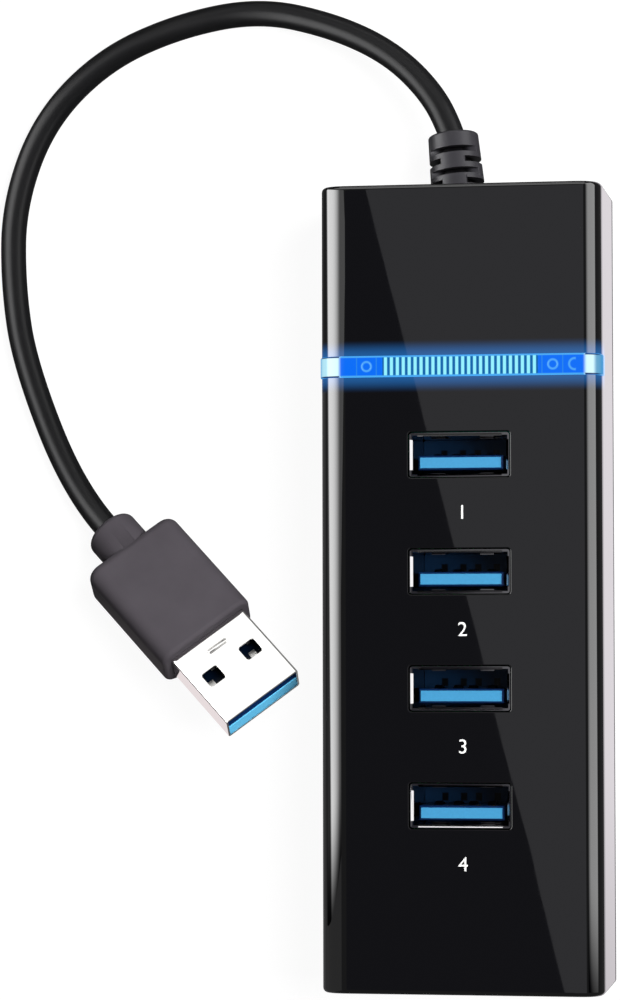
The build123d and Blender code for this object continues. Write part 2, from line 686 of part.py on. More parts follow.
def front_contact(x, clearance):
    """One fixed contact: a pad at the tongue's tip, a step and a strip down through the board."""
    pad_top = TONGUE_TIP_Z - PAD_TIP_INSET
    pad_bottom = pad_top - PAD_LENGTH
    strip_front = CONTACT_FACE_Y - CONDUCTOR_DEPTH
    strip_back = strip_front - CONDUCTOR_THICKNESS
    x_range = centred(x, PAD_WIDTH + 2 * clearance)
    pad = block(
        x_range,
        (CONTACT_FACE_Y - PAD_THICKNESS - clearance, CONTACT_FACE_Y + clearance),
        (pad_bottom - clearance, pad_top + clearance),
    )
    step = block(
        x_range,
        (strip_back - clearance, CONTACT_FACE_Y + clearance),
        (pad_bottom - clearance, pad_bottom + CONDUCTOR_THICKNESS + clearance),
    )
    strip = block(
        x_range,
        (strip_back - clearance, strip_front + clearance),
        (TAIL_END_Z, pad_bottom + CONDUCTOR_THICKNESS / 2),
    )
    return joined([pad, step, strip])


def make_front_contacts(port_y):
    """The five fixed fast contacts of a socket."""
    return Pos(0, port_y, 0) * grouped([front_contact(x, 0) for x in FAST_CONTACT_X])


def spring_strip(root, bulge, tip, thickness, width):
    """A bent strip in the YZ plane from its root over its bulge to its tip, centred on X."""
    half = thickness / 2
    profile = Polyline(
        (root[0] - half, root[1]),
        (root[0] + half, root[1]),
        (bulge[0], bulge[1]),
        (tip[0] + half, tip[1]),
        (tip[0] - half, tip[1]),
        (bulge[0] - thickness, bulge[1]),
        close=True,
    )
    return Pos(-width / 2, 0, 0) * extrude(Plane.YZ * make_face(profile), amount=width)


def make_spring_contacts(port_y):
    """The four sprung contacts of a socket, above the line that they bend about."""
    strip = spring_strip(
        (SPRING_PIVOT_Y, SPRING_PIVOT_Z),
        (CONTACT_FACE_Y + SPRING_PROUD, SOCKET_FLOOR_Z + SPRING_BULGE_HEIGHT),
        (CONTACT_FACE_Y - SPRING_TIP_DEPTH, SOCKET_FLOOR_Z + SPRING_TIP_HEIGHT),
        SPRING_THICKNESS,
        SPRING_WIDTH,
    )
    return grouped([Pos(x, port_y, 0) * strip for x in POWER_CONTACT_X])


def make_contact_tails(port_y):
    """The fixed roots of the sprung contacts, down through the board."""
    tails = []
    for x in POWER_CONTACT_X:
        narrow = block(
            centred(x, SPRING_WIDTH / 2),
            centred(port_y + SPRING_PIVOT_Y, SPRING_THICKNESS),
            (TAIL_END_Z, SOCKET_FLOOR_Z + SPRING_SPLIT),
        )
        root = block(
            centred(x, SPRING_WIDTH),
            centred(port_y + SPRING_PIVOT_Y, SPRING_THICKNESS),
            (SOCKET_FLOOR_Z, SPRING_PIVOT_Z - SPRING_SPLIT),
        )
        tails.append(narrow + root)
    return grouped(tails)


# The strain relief's outer part leans to -X and droops a little from the end wall.
GLAND_FRAME = Pos(GLAND_X, HALF_LENGTH, GLAND_Z) * Rot(0, 0, GLAND_LEAN) * Rot(-GLAND_DROOP, 0, 0)


def along_gland(y_range, diameter, end_diameter=None):
    """A round piece on the strain relief's leaning axis, from one distance to another."""
    low, high = y_range
    if end_diameter is None:
        piece = Cylinder(diameter / 2, high - low)
    else:
        piece = Cone(diameter / 2, end_diameter / 2, high - low)
    return GLAND_FRAME * Pos(0, (low + high) / 2, 0) * Rot(-90, 0, 0) * piece


def inner_lead(clearance):
    """The lead inside the housing and through the strain relief, bent at the end wall."""
    inner_end = (GLAND_X, HALF_LENGTH - END_WALL - FLANGE_THICKNESS - INNER_LEAD_LENGTH, GLAND_Z)
    bend = (GLAND_X, HALF_LENGTH, GLAND_Z)
    outer_end = (GLAND_FRAME * Pos(0, RELIEF_LENGTH, 0)).position
    runs = [Vector(*inner_end), Vector(*bend), outer_end]
    path = rounded_path(runs)
    section = Plane(origin=runs[0], z_dir=runs[1] - runs[0]) * Circle(CORD_DIAMETER / 2 + clearance)
    return sweep(section, path=path)


def bend_radii(points):
    """The largest tangent radius at each inner point: a share of the shorter run on each side."""
    radii = []
    for before, here, after in zip(points, points[1:], points[2:]):
        turn = (here - before).get_angle(after - here)
        shorter = min((here - before).length, (after - here).length)
        radii.append(BEND_SHARE * shorter / tan(radians(turn / 2)))
    return radii


def rounded_path(points):
    """Straight runs through the points, joined by tangent arcs."""
    return FilletPolyline(*points, radius=bend_radii(points))


def make_strain_relief():
    """Moulded relief: flange inside the wall, neck in the notch, slotted tapered sleeve outside."""
    wall_inside = HALF_LENGTH - END_WALL
    flange = Pos(GLAND_X, wall_inside - FLANGE_THICKNESS / 2, GLAND_Z) * Rot(90, 0, 0)
    flange = flange * Cylinder(FLANGE_DIAMETER / 2, FLANGE_THICKNESS)
    neck = Pos(GLAND_X, HALF_LENGTH - END_WALL / 2, GLAND_Z) * Rot(90, 0, 0)
    neck = neck * Cylinder(NECK_DIAMETER / 2, END_WALL)
    outside = along_gland((-1, RELIEF_LENGTH), RELIEF_BASE_DIAMETER, RELIEF_TIP_DIAMETER)
    tip_edge = outside.edges().filter_by(GeomType.CIRCLE).sort_by(Axis.Y)[-1]
    outside = fillet(tip_edge, RELIEF_TIP_ROUND)
    for index in range(RELIEF_SLOT_COUNT):
        middle = RELIEF_LENGTH - RELIEF_SLOT_FIRST - index * RELIEF_SLOT_PITCH
        span = centred(middle, RELIEF_SLOT_WIDTH)
        ring = along_gland(span, 2 * RELIEF_BASE_DIAMETER)
        ring -= along_gland(span, RELIEF_CORE_DIAMETER)
        if index % 2 == 0:
            bridge_size = (2 * RELIEF_BASE_DIAMETER, RELIEF_SLOT_WIDTH, RELIEF_BRIDGE_WIDTH)
        else:
            bridge_size = (RELIEF_BRIDGE_WIDTH, RELIEF_SLOT_WIDTH, 2 * RELIEF_BASE_DIAMETER)
        outside -= ring - GLAND_FRAME * Pos(0, middle, 0) * Box(*bridge_size)
    outside -= block((-THROUGH, THROUGH), (0, HALF_LENGTH), (-THROUGH, THROUGH))
    return joined([flange, neck, outside]) - inner_lead(BORE_CLEARANCE)


def make_wire_leads():
    """Nine insulated wires from the lead's inner end down to their pads on the board."""
    start_y = HALF_LENGTH - END_WALL - FLANGE_THICKNESS - INNER_LEAD_LENGTH
    pad_y = BOARD_LENGTH / 2 - WIRE_PAD_INSET
    wires = []
    for column_index in (-1, 0, 1):
        for row in (-1, 0, 1):
            start = Vector(GLAND_X + column_index * WIRE_GRID, start_y, GLAND_Z + row * WIRE_GRID)
            pad_x = GLAND_X + (3 * column_index + row) * WIRE_PAD_PITCH
            bend = Vector(pad_x, pad_y + WIRE_BEND_INSET, BOARD_TOP_Z + WIRE_BEND_RISE)
            pad = Vector(pad_x, pad_y, BOARD_TOP_Z)
            path = FilletPolyline(start, bend, pad, radius=WIRE_BEND_RADIUS)
            section = Plane(origin=start, z_dir=bend - start) * Circle(WIRE_DIAMETER / 2)
            wire = sweep(section, path=path)
            above_board = block((-THROUGH, THROUGH), (0, start_y), (BOARD_TOP_Z, CEILING_Z))
            wires.append(wire & above_board)
    return grouped(wires)


# Plug, built along +Y from the rear face of its boot's neck: its top face is towards +Z.
BOOT_REAR_Y = BOOT_NECK_LENGTH
BOOT_FRONT_Y = BOOT_REAR_Y + BOOT_LENGTH
PLUG_TIP_Y = BOOT_FRONT_Y + PLUG_SHELL_EXPOSED
SHELL_REAR_Y = BOOT_FRONT_Y - PLUG_SHELL_BURIED
PLUG_FACE_Z = PLUG_INSULATOR_THICKNESS + PLUG_SHELL_WALL - PLUG_SHELL_DEPTH / 2
PLUG_TAIL_END_Y = SHELL_REAR_Y - PLUG_TAIL_PROUD
PLUG_PIVOT_Y = PLUG_TIP_Y - PLUG_SPRING_PIVOT_INSET
PLUG_PIVOT_Z = PLUG_FACE_Z - PLUG_SPRING_ROOT_DEPTH


def along_y(outline, y_range):
    """A section in the XZ plane drawn out along Y between two limits."""
    low, high = y_range
    return Pos(0, high, 0) * extrude(Plane.XZ * outline, amount=high - low)


def plug_boot_body():
    """Outer form of the boot before it is bored and pocketed."""
    outline = RectangleRounded(BOOT_WIDTH, BOOT_DEPTH, BOOT_EDGE_RADIUS)
    grip = along_y(outline, (BOOT_REAR_Y, BOOT_FRONT_Y))
    grip = fillet(grip.faces().sort_by(Axis.Y)[0].edges(), BOOT_REAR_RADIUS)
    grip = chamfer(grip.faces().sort_by(Axis.Y)[-1].edges(), BOOT_FRONT_CHAMFER)
    neck = along_y(Circle(BOOT_NECK_DIAMETER / 2), (0, BOOT_REAR_Y + 1))
    neck = fillet(neck.faces().sort_by(Axis.Y)[0].edges(), BOOT_NECK_ROUND)
    return grip + neck


def shell_outline(clearance):
    """Outside of the plug's shell as a sketch."""
    return RectangleRounded(
        PLUG_SHELL_WIDTH + 2 * clearance,
        PLUG_SHELL_DEPTH + 2 * clearance,
        PLUG_SHELL_CORNER + clearance,
    )


def make_plug_boot():
    """Moulded grip with a neck for the lead and a pocket for the shell and its soldered tails."""
    body = plug_boot_body()
    body -= along_y(shell_outline(SLEEVE_CLEARANCE), (SHELL_REAR_Y, BOOT_FRONT_Y + 1))
    wire_end_y = PLUG_TAIL_END_Y - PLUG_WIRE_LENGTH
    room = block(
        centred(0, 2 * FAST_CONTACT_X[-1] + SPRING_WIDTH + 2 * PLUG_ROOM_CLEARANCE),
        (wire_end_y, SHELL_REAR_Y + 1),
        centred(0, CORD_DIAMETER),
    )
    body -= room
    return body - along_y(Circle(CORD_DIAMETER / 2 + BORE_CLEARANCE), (-1, wire_end_y))


def make_plug_lead():
    """The end of the lead inside the boot."""
    return along_y(Circle(CORD_DIAMETER / 2), (0, PLUG_TAIL_END_Y - PLUG_WIRE_LENGTH))


def make_plug_shell():
    """Folded steel shell with two latch windows through each broad side and a pressed slot."""
    inner = RectangleRounded(
        PLUG_SHELL_WIDTH - 2 * PLUG_SHELL_WALL,
        PLUG_SHELL_DEPTH - 2 * PLUG_SHELL_WALL,
        PLUG_SHELL_CORNER - PLUG_SHELL_WALL,
    )
    shell = along_y(shell_outline(0) - inner, (SHELL_REAR_Y, PLUG_TIP_Y))
    for x in (-LATCH_X, LATCH_X):
        shell -= block(
            centred(x, LATCH_WIDTH),
            centred(PLUG_TIP_Y - LATCH_INSET, LATCH_LENGTH),
            (-THROUGH, THROUGH),
        )
    slot = Pos(0, PLUG_TIP_Y - PRESS_SLOT_INSET, PLUG_SHELL_DEPTH / 2 - PRESS_SLOT_DEPTH)
    slot = slot * extrude(SlotOverall(PRESS_SLOT_LENGTH, PRESS_SLOT_WIDTH), amount=1)
    return shell - slot


def make_plug_insulator():
    """Moulded core of the plug: the contact platform in front and a full block behind."""
    gap = PLUG_SHELL_WALL + SLEEVE_CLEARANCE
    core = RectangleRounded(
        PLUG_SHELL_WIDTH - 2 * gap,
        PLUG_SHELL_DEPTH - 2 * gap,
        PLUG_SHELL_CORNER - PLUG_SHELL_WALL,
    )
    body = along_y(core, (SHELL_REAR_Y, PLUG_TIP_Y - PLUG_FRONT_INSET))
    back_y = PLUG_TIP_Y - PLUG_CAVITY_DEPTH
    body -= block((-THROUGH, THROUGH), (back_y, PLUG_TIP_Y + 1), (PLUG_FACE_Z, THROUGH))
    for x in POWER_CONTACT_X:
        body -= flat_contact(x, SLEEVE_CLEARANCE)
    for x in FAST_CONTACT_X:
        body -= block(
            centred(x, PLUG_SPRING_WIDTH + 2 * GROOVE_CLEARANCE),
            (PLUG_PIVOT_Y - SPRING_SPLIT, PLUG_TIP_Y - PLUG_SPRING_TIP_INSET + GROOVE_END_CLEARANCE),
            (PLUG_FACE_Z - PLUG_GROOVE_DEPTH, PLUG_FACE_Z + PLUG_GROOVE_RISE),
        )
        body -= plug_tail(x, SLEEVE_CLEARANCE)
    return body


def flat_contact(x, clearance):
    """One flat plug contact: a pad on the platform, a step down and a strip to its tail."""
    pad_front = PLUG_TIP_Y - PLUG_PAD_INSET
    pad_rear = pad_front - PLUG_PAD_LENGTH
    strip_top = PLUG_FACE_Z - PLUG_CONDUCTOR_DEPTH
    x_range = centred(x, SPRING_WIDTH + 2 * clearance)
    pad = block(
        x_range,
        (pad_rear - clearance, pad_front + clearance),
        (PLUG_FACE_Z - SPRING_THICKNESS - clearance, PLUG_FACE_Z + clearance),
    )
    step = block(
        x_range,
        (pad_rear - clearance, pad_rear + SPRING_THICKNESS + clearance),
        (strip_top - SPRING_THICKNESS - clearance, PLUG_FACE_Z + clearance),
    )
    strip = block(
        x_range,
        (PLUG_TAIL_END_Y, pad_rear + SPRING_THICKNESS / 2),
        (strip_top - SPRING_THICKNESS - clearance, strip_top + clearance),
    )
    return joined([pad, step, strip])


def make_plug_flat_contacts():
    """The four flat power and data contacts of the plug."""
    return grouped([flat_contact(x, 0) for x in POWER_CONTACT_X])


def plug_tail(x, clearance):
    """The fixed root of one sprung plug contact."""
    return block(
        centred(x, PLUG_SPRING_WIDTH + 2 * clearance),
        (PLUG_TAIL_END_Y, PLUG_PIVOT_Y - SPRING_SPLIT),
        centred(PLUG_PIVOT_Z, PLUG_SPRING_THICKNESS + 2 * clearance),
    )


def make_plug_contact_tails():
    """The five fixed roots of the sprung contacts."""
    return grouped([plug_tail(x, 0) for x in FAST_CONTACT_X])


def make_plug_spring_contacts():
    """The five sprung fast contacts, in front of the line that they bend about."""
    half = PLUG_SPRING_THICKNESS / 2
    bulge_y = PLUG_TIP_Y - PLUG_SPRING_BULGE_INSET
    tip_y = PLUG_TIP_Y - PLUG_SPRING_TIP_INSET
    bulge_z = PLUG_FACE_Z + PLUG_SPRING_PROUD
    tip_z = PLUG_FACE_Z - PLUG_SPRING_TIP_DEPTH
    profile = Polyline(
        (PLUG_PIVOT_Y, PLUG_PIVOT_Z - half),
        (bulge_y, bulge_z - PLUG_SPRING_THICKNESS),
        (tip_y, tip_z - half),
        (tip_y, tip_z + half),
        (bulge_y, bulge_z),
        (PLUG_PIVOT_Y, PLUG_PIVOT_Z + half),
        close=True,
    )
    strip = extrude(Plane.YZ * make_face(profile), amount=PLUG_SPRING_WIDTH)
    return grouped([Pos(x - PLUG_SPRING_WIDTH / 2, 0, 0) * strip for x in FAST_CONTACT_X])


def make_plug_wire_leads():
    """Short wires that fan out from the lead to the contact tails inside the boot."""
    start_y = PLUG_TAIL_END_Y - PLUG_WIRE_LENGTH
    flat_z = PLUG_FACE_Z - PLUG_CONDUCTOR_DEPTH - SPRING_THICKNESS / 2
    ends = [(x, flat_z) for x in POWER_CONTACT_X]
    ends += [(x, PLUG_PIVOT_Z) for x in FAST_CONTACT_X]
    wires = []
    for x, z in ends:
        start = Vector(x * PLUG_WIRE_SPREAD, start_y, z * PLUG_WIRE_SPREAD)
        end = Vector(x, PLUG_TAIL_END_Y, z)
        section = Plane(origin=start, z_dir=end - start) * Circle(PLUG_WIRE_DIAMETER / 2)
        wire = sweep(section, path=Line(start, end))
        wires.append(wire & block((-THROUGH, THROUGH), (start_y, PLUG_TAIL_END_Y), (-THROUGH, THROUGH)))
    return grouped(wires)


# The plug turned to its place; its boot just rests on the surface.
PLUG_TURN = Rot(0, 0, PLUG_HEADING - 90) * Rot(PLUG_TIP_UP, 0, 0) * Rot(0, PLUG_ROLL, 0)
PLUG_REST_Z = -(PLUG_TURN * plug_boot_body()).bounding_box().min.Z
PLUG_FRAME = Pos(*CORD_END, PLUG_REST_Z) * PLUG_TURN


def cord_route():
    """Points of the free lead: down from the strain relief, along the surface and up to the plug."""
    floor_z = CORD_DIAMETER / 2
    start = (GLAND_FRAME * Pos(0, RELIEF_LENGTH, 0)).position
    heights = [start.Z - fall for fall in CORD_FALL]
    heights += [floor_z] * (len(CORD_PLAN) - len(CORD_FALL) - 1)
    end = Vector(*CORD_END, PLUG_REST_Z)
    last_run = (Vector(*CORD_END) - Vector(*CORD_PLAN[-1])).length
    heights.append(max(floor_z, PLUG_REST_Z - last_run * tan(radians(PLUG_TIP_UP))))
    plan = [Vector(x, y, z) for (x, y), z in zip(CORD_PLAN, heights)]
    return [Vector(start.X, start.Y, start.Z), *plan, end]


def make_cord():
    """Free lead from the strain relief's end face to the plug's neck."""
    route = cord_route()
    path = rounded_path(route)
    first_run = route[1] - route[0]
    section = Plane(origin=route[0], z_dir=first_run) * Circle(CORD_DIAMETER / 2)
    tube = sweep(section, path=path)
    # The first run leaves the strain relief's end face at an angle, so the tube is trimmed to that face.
    start = Plane(origin=route[0] - first_run.normalized() * CORD_DIAMETER, z_dir=first_run)
    tube += extrude(start * Circle(CORD_DIAMETER / 2), amount=CORD_DIAMETER)
    behind = Pos(0, RELIEF_LENGTH - CORD_DIAMETER, 0) * Box(*[2 * CORD_DIAMETER] * 3)
    tube -= GLAND_FRAME * behind
    print("cord radii", [round(radius, 1) for radius in bend_radii(route)])
    print("cord runs", [round((b - a).length, 1) for a, b in zip(route, route[1:])])
    print("cord turns", [round((b - a).get_angle(c - b), 1) for a, b, c in zip(route, route[1:], route[2:])])
    area = pi * CORD_DIAMETER**2 / 4
    print("cord length", round(path.length, 2), "volume share", round(tube.volume / (area * path.length), 4))
    print("cord points", [tuple(round(value, 2) for value in point) for point in route])
    return tube


def build_parts():
    """Every sub-part by name, in its place."""
    parts = {
        "top_cover": make_top_cover(),
        "base_cover": make_base_cover(),
        "light_bar": make_light_bar(),
        "rubber_feet": make_rubber_feet(),
        "case_screws": make_case_screws(),
        "circuit_board": make_circuit_board(),
        "hub_controller": make_hub_controller(),
        "crystal": make_crystal(),
        "voltage_regulator": make_voltage_regulator(),
        "bulk_capacitor": make_bulk_capacitor(),
        "status_lamps": make_status_lamps(),
        "port_fuses": grouped([chip_with_ends((FUSE_X, y), FUSE_SIZE) for y in PORT_Y]),
        "ceramic_capacitors": grouped([chip_with_ends((CAPACITOR_X, y), CAPACITOR_SIZE) for y in PORT_Y]),
        "chip_resistors": grouped([chip_with_ends((x, RESISTOR_Y), RESISTOR_SIZE) for x in RESISTOR_X]),
        "strain_relief": make_strain_relief(),
        "inner_lead": inner_lead(0),
        "wire_leads": make_wire_leads(),
        "cord": make_cord(),
        "plug_boot": PLUG_FRAME * make_plug_boot(),
        "plug_lead": PLUG_FRAME * make_plug_lead(),
        "plug_wire_leads": PLUG_FRAME * make_plug_wire_leads(),
        "plug_shell": PLUG_FRAME * make_plug_shell(),
        "plug_insulator": PLUG_FRAME * make_plug_insulator(),
        "plug_flat_contacts": PLUG_FRAME * make_plug_flat_contacts(),
        "plug_spring_contacts": PLUG_FRAME * make_plug_spring_contacts(),
        "plug_contact_tails": PLUG_FRAME * make_plug_contact_tails(),
    }
    for number, port_y in enumerate(PORT_Y, start=1):
        parts[f"socket_{number}_shell"] = make_socket_shell(port_y)
        parts[f"socket_{number}_insulator"] = make_socket_insulator(port_y)
        parts[f"socket_{number}_front_contacts"] = make_front_contacts(port_y)
        parts[f"socket_{number}_spring_contacts"] = make_spring_contacts(port_y)
        parts[f"socket_{number}_contact_tails"] = make_contact_tails(port_y)
    return parts


os.makedirs("parts", exist_ok=True)
for name, shape in build_parts().items():
    export_step(shape, f"parts/{name}.step")

plug_pivot = (PLUG_FRAME * Pos(0, PLUG_PIVOT_Y, PLUG_PIVOT_Z)).position
plug_across = (PLUG_FRAME * Pos(1, PLUG_PIVOT_Y, PLUG_PIVOT_Z)).position - plug_pivot
plug_tip = (PLUG_FRAME * Pos(0, PLUG_TIP_Y, 0)).position
plug_rear = (PLUG_FRAME * Pos(0, 0, 0)).position
print("socket contact pivot", round(SPRING_PIVOT_Y, 3), round(SPRING_PIVOT_Z, 3))
print("plug contact pivot", plug_pivot, "across", plug_across)
print("plug rear", plug_rear, "tip", plug_tip)
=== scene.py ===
"""Four-port USB hub with its lit bar, lead and plug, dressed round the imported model."""
import json
import logging
from dataclasses import dataclass, field
from enum import Enum
from functools import partial
from math import radians
from typing import Callable, Iterable

import bmesh
import bpy
from bpy.types import Material, NodeSocket, NodeTree, Object, ShaderNode, World
from mathutils import Matrix, Vector


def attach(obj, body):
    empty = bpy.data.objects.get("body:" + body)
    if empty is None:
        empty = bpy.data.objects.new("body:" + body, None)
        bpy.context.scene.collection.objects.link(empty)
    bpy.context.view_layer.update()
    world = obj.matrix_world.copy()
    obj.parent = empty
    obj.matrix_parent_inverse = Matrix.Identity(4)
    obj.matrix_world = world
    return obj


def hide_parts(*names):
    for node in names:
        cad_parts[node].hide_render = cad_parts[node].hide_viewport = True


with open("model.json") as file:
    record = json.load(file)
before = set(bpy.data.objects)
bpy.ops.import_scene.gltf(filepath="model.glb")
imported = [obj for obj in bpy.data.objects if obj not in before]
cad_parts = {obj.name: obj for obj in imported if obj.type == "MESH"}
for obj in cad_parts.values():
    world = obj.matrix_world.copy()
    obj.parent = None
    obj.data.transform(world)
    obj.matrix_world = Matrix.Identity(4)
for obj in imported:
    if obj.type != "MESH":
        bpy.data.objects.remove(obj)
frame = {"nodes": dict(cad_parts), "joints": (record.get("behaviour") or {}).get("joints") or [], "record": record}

LOG = logging.getLogger("usb_hub")
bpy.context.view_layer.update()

# The pieces are modelled in millimetres and brought to metres at the end.
MM = 0.001
TO_METRES = Matrix.Scale(MM, 4)
NEAR = 1e-3
Pair = tuple[float, float]
Triple = tuple[float, float, float]
Corners = tuple[Triple, ...]
Layer = tuple[NodeSocket, float, float, str]
AddNode = Callable[..., NodeSocket]

# Sizes that more than one piece keeps to, in millimetres.
HALF_WIDTH = 18.5
HEIGHT = 21.0
LONG_REACH = 3.9
PROFILE = 0.6
PORTS = (17.3, 2.1, -13.1, -28.3)
LIGHT_Y = 28.9
BAR_HALF = 1.35
GROOVE_HALF = 1.4
RIB_START, RIB_PITCH, RIB_COUNT = -9.97, 0.78, 26
RINGS = (-12.1, 12.3)
RING_RADIUS = 0.6
GLAND = (-1.35, 52.75, 9.5)

SMOOTH = {"interpolation_type": "SMOOTHSTEP"}
BLACK = "#000000"
WHITE = (1.0, 1.0, 1.0, 1.0)


class Part(Enum):
    """What is picked on a mesh in edit mode."""

    VERTS = "verts"
    EDGES = "edges"
    FACES = "faces"


class Join(Enum):
    """How a second solid acts on the first."""

    CUT = "DIFFERENCE"
    ADD = "UNION"


# Modelling tools


def alone(piece: Object) -> None:
    """Makes one object the only selected one, and the active one.

    Args:
        piece: The object to pick.
    """
    bpy.ops.object.select_all(action="DESELECT")
    piece.select_set(True)
    bpy.context.view_layer.objects.active = piece


def form(name: str, add: Callable[..., object], **settings: object) -> Object:
    """Adds a primitive form and puts its place into its mesh.

    Args:
        name: Name of the new object.
        add: The operator that adds it.
        settings: What the operator is given.

    Returns:
        The form.
    """
    bpy.ops.object.select_all(action="DESELECT")
    add(**settings)
    bpy.ops.object.transform_apply(location=True, rotation=True, scale=True)
    bpy.context.active_object.name = name
    return bpy.context.active_object


def modify(piece: Object, kind: str, **settings: object) -> None:
    """Gives a piece a modifier and applies it.

    Args:
        piece: The object to change.
        kind: The modifier's type.
        settings: The modifier's settings.
    """
    alone(piece)
    modifier = piece.modifiers.new(kind.lower(), kind)
    for name, value in settings.items():
        setattr(modifier, name, value)
    bpy.ops.object.modifier_apply(modifier=modifier.name)


def block(name: str, low: Triple, high: Triple) -> Object:
    """Adds a block between two corners.

    Args:
        name: Name of the new object.
        low: One corner, in millimetres.
        high: The opposite corner, in millimetres.

    Returns:
        The block, with its place in its mesh.
    """
    middle = [(a + b) / 2 for a, b in zip(low, high)]
    size = [abs(b - a) for a, b in zip(low, high)]
    return form(name, bpy.ops.mesh.primitive_cube_add, size=1, location=middle, scale=size)


def about(x: float, y: float, half_x: float, half_y: float, low: float, high: float) -> Corners:
    """Corners of a block about an upright line, between two heights."""
    return (x - half_x, y - half_y, low), (x + half_x, y + half_y, high)


def rod(
    name: str, start: Triple, end: Triple, radius: float, end_radius: float = 0.0, sides: int = 64
) -> Object:
    """Adds a round rod or a taper between two points.

    Args:
        name: Name of the new object.
        start: Centre of the first end, in millimetres.
        end: Centre of the second end, in millimetres.
        radius: Radius at the first end.
        end_radius: Radius at the second end, or 0 for the same radius.
        sides: Number of sides round it.

    Returns:
        The rod, with its place in its mesh.
    """
    axis = Vector(end) - Vector(start)
    return form(
        name,
        bpy.ops.mesh.primitive_cone_add,
        vertices=sides,
        radius1=radius,
        radius2=end_radius or radius,
        depth=axis.length,
        location=(Vector(start) + Vector(end)) / 2,
        rotation=axis.to_track_quat("Z", "Y").to_euler(),
    )


def flat_on(item: object, axis: int, value: float) -> bool:
    """Whether every corner of an edge or face has the given coordinate on an axis."""
    return all(abs(vert.co[axis] - value) < NEAR for vert in item.verts)


def runs(edge: object, axis: int) -> bool:
    """Whether the ends of an edge lie apart on an axis."""
    return abs(edge.verts[0].co[axis] - edge.verts[1].co[axis]) > NEAR


def long_top(height: float) -> Callable[[object], bool]:
    """A test for the edges at a height that run along the hub."""
    return lambda edge: flat_on(edge, 2, height) and runs(edge, 1)


def work_on(piece: Object, part: Part, test: Callable[[object], bool], work: Callable[[], object]) -> None:
    """Picks parts of a mesh in edit mode and runs operators on them.

    Args:
        piece: The object to change.
        part: Whether vertices, edges or faces are picked.
        test: Tells whether an element is picked.
        work: Runs the operators once the elements are picked.
    """
    alone(piece)
    bpy.ops.object.mode_set(mode="EDIT")
    bpy.context.tool_settings.mesh_select_mode = [option is part for option in Part]
    mesh = bmesh.from_edit_mesh(piece.data)
    for group in (mesh.faces, mesh.edges, mesh.verts):
        for item in group:
            item.select_set(False)
    for item in getattr(mesh, part.value):
        if test(item):
            item.select_set(True)
    bmesh.update_edit_mesh(piece.data)
    work()
    bpy.ops.object.mode_set(mode="OBJECT")


def round_edges(
    piece: Object, test: Callable[[object], bool], radius: float, segments: int = 6, profile: float = 0.5
) -> None:
    """Rounds edges.

    Args:
        piece: The object to change.
        test: Tells whether an edge is rounded.
        radius: How far the rounding reaches from the edge, in millimetres.
        segments: Segments of the rounding.
        profile: 0.5 for a circle, more for a squarer curve that runs out softly at both ends.
    """
    bevel = partial(
        bpy.ops.mesh.bevel,
        offset=radius,
        offset_type="OFFSET",
        segments=segments,
        profile=profile,
        affect="EDGES",
        clamp_overlap=False,
    )
    work_on(piece, Part.EDGES, test, bevel)


def combine(piece: Object, tools: Iterable[Object], join: Join) -> Object:
    """Cuts solids out of a piece, or adds them to it, and uses them up.

    Args:
        piece: The object that stays.
        tools: Closed solids to cut with or to add.
        join: Whether they are cut out or added.

    Returns:
        The piece.
    """
    for tool in tools:
        modify(piece, "BOOLEAN", operation=join.value, solver="EXACT", object=tool)
        bpy.data.objects.remove(tool, do_unlink=True)
    return piece


def gather(pieces: list[Object]) -> Object:
    """Joins objects that don't overlap into the first of them.

    Args:
        pieces: Objects that don't overlap.

    Returns:
        The first of them, which now holds them all.
    """
    alone(pieces[0])
    for piece in pieces[1:]:
        piece.select_set(True)
    bpy.ops.object.join()
    return pieces[0]


def copy_of(piece: Object, name: str, move: Triple) -> Object:
    """A copy with its own mesh, moved by so many millimetres.

    Args:
        piece: The object to copy.
        name: Name of the copy.
        move: How far it is moved, in millimetres.

    Returns:
        The copy.
    """
    twin = piece.copy()
    twin.data = piece.data.copy()
    twin.name = name
    bpy.context.scene.collection.objects.link(twin)
    twin.data.transform(Matrix.Translation(move))
    return twin


def rounded_bar(name: str, low: Triple, high: Triple, axis: int, radius: float, segments: int = 6) -> Object:
    """Adds a block whose four edges along one axis are rounded.

    Args:
        name: Name of the new object.
        low: Lowest corner, in millimetres.
        high: Highest corner, in millimetres.
        axis: The axis that the rounded edges run along: 0, 1 or 2.
        radius: Radius of the rounding.
        segments: Segments of each rounding.

    Returns:
        The rounded block.
    """
    piece = block(name, low, high)
    round_edges(piece, lambda edge: runs(edge, axis), radius, segments)
    return piece


def soften(piece: Object, width: float, angle: float = 40.0) -> None:
    """Bevels every edge that turns more than an angle, by a width in millimetres."""
    limit = {"limit_method": "ANGLE", "angle_limit": radians(angle)}
    modify(piece, "BEVEL", width=width, segments=2, harden_normals=False, **limit)


def dress(material: Material, *nodes: str) -> None:
    """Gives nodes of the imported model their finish.

    Args:
        material: The finish.
        nodes: Names of the nodes.
    """
    for node in nodes:
        for slot in frame["nodes"][node].material_slots:
            slot.material = material


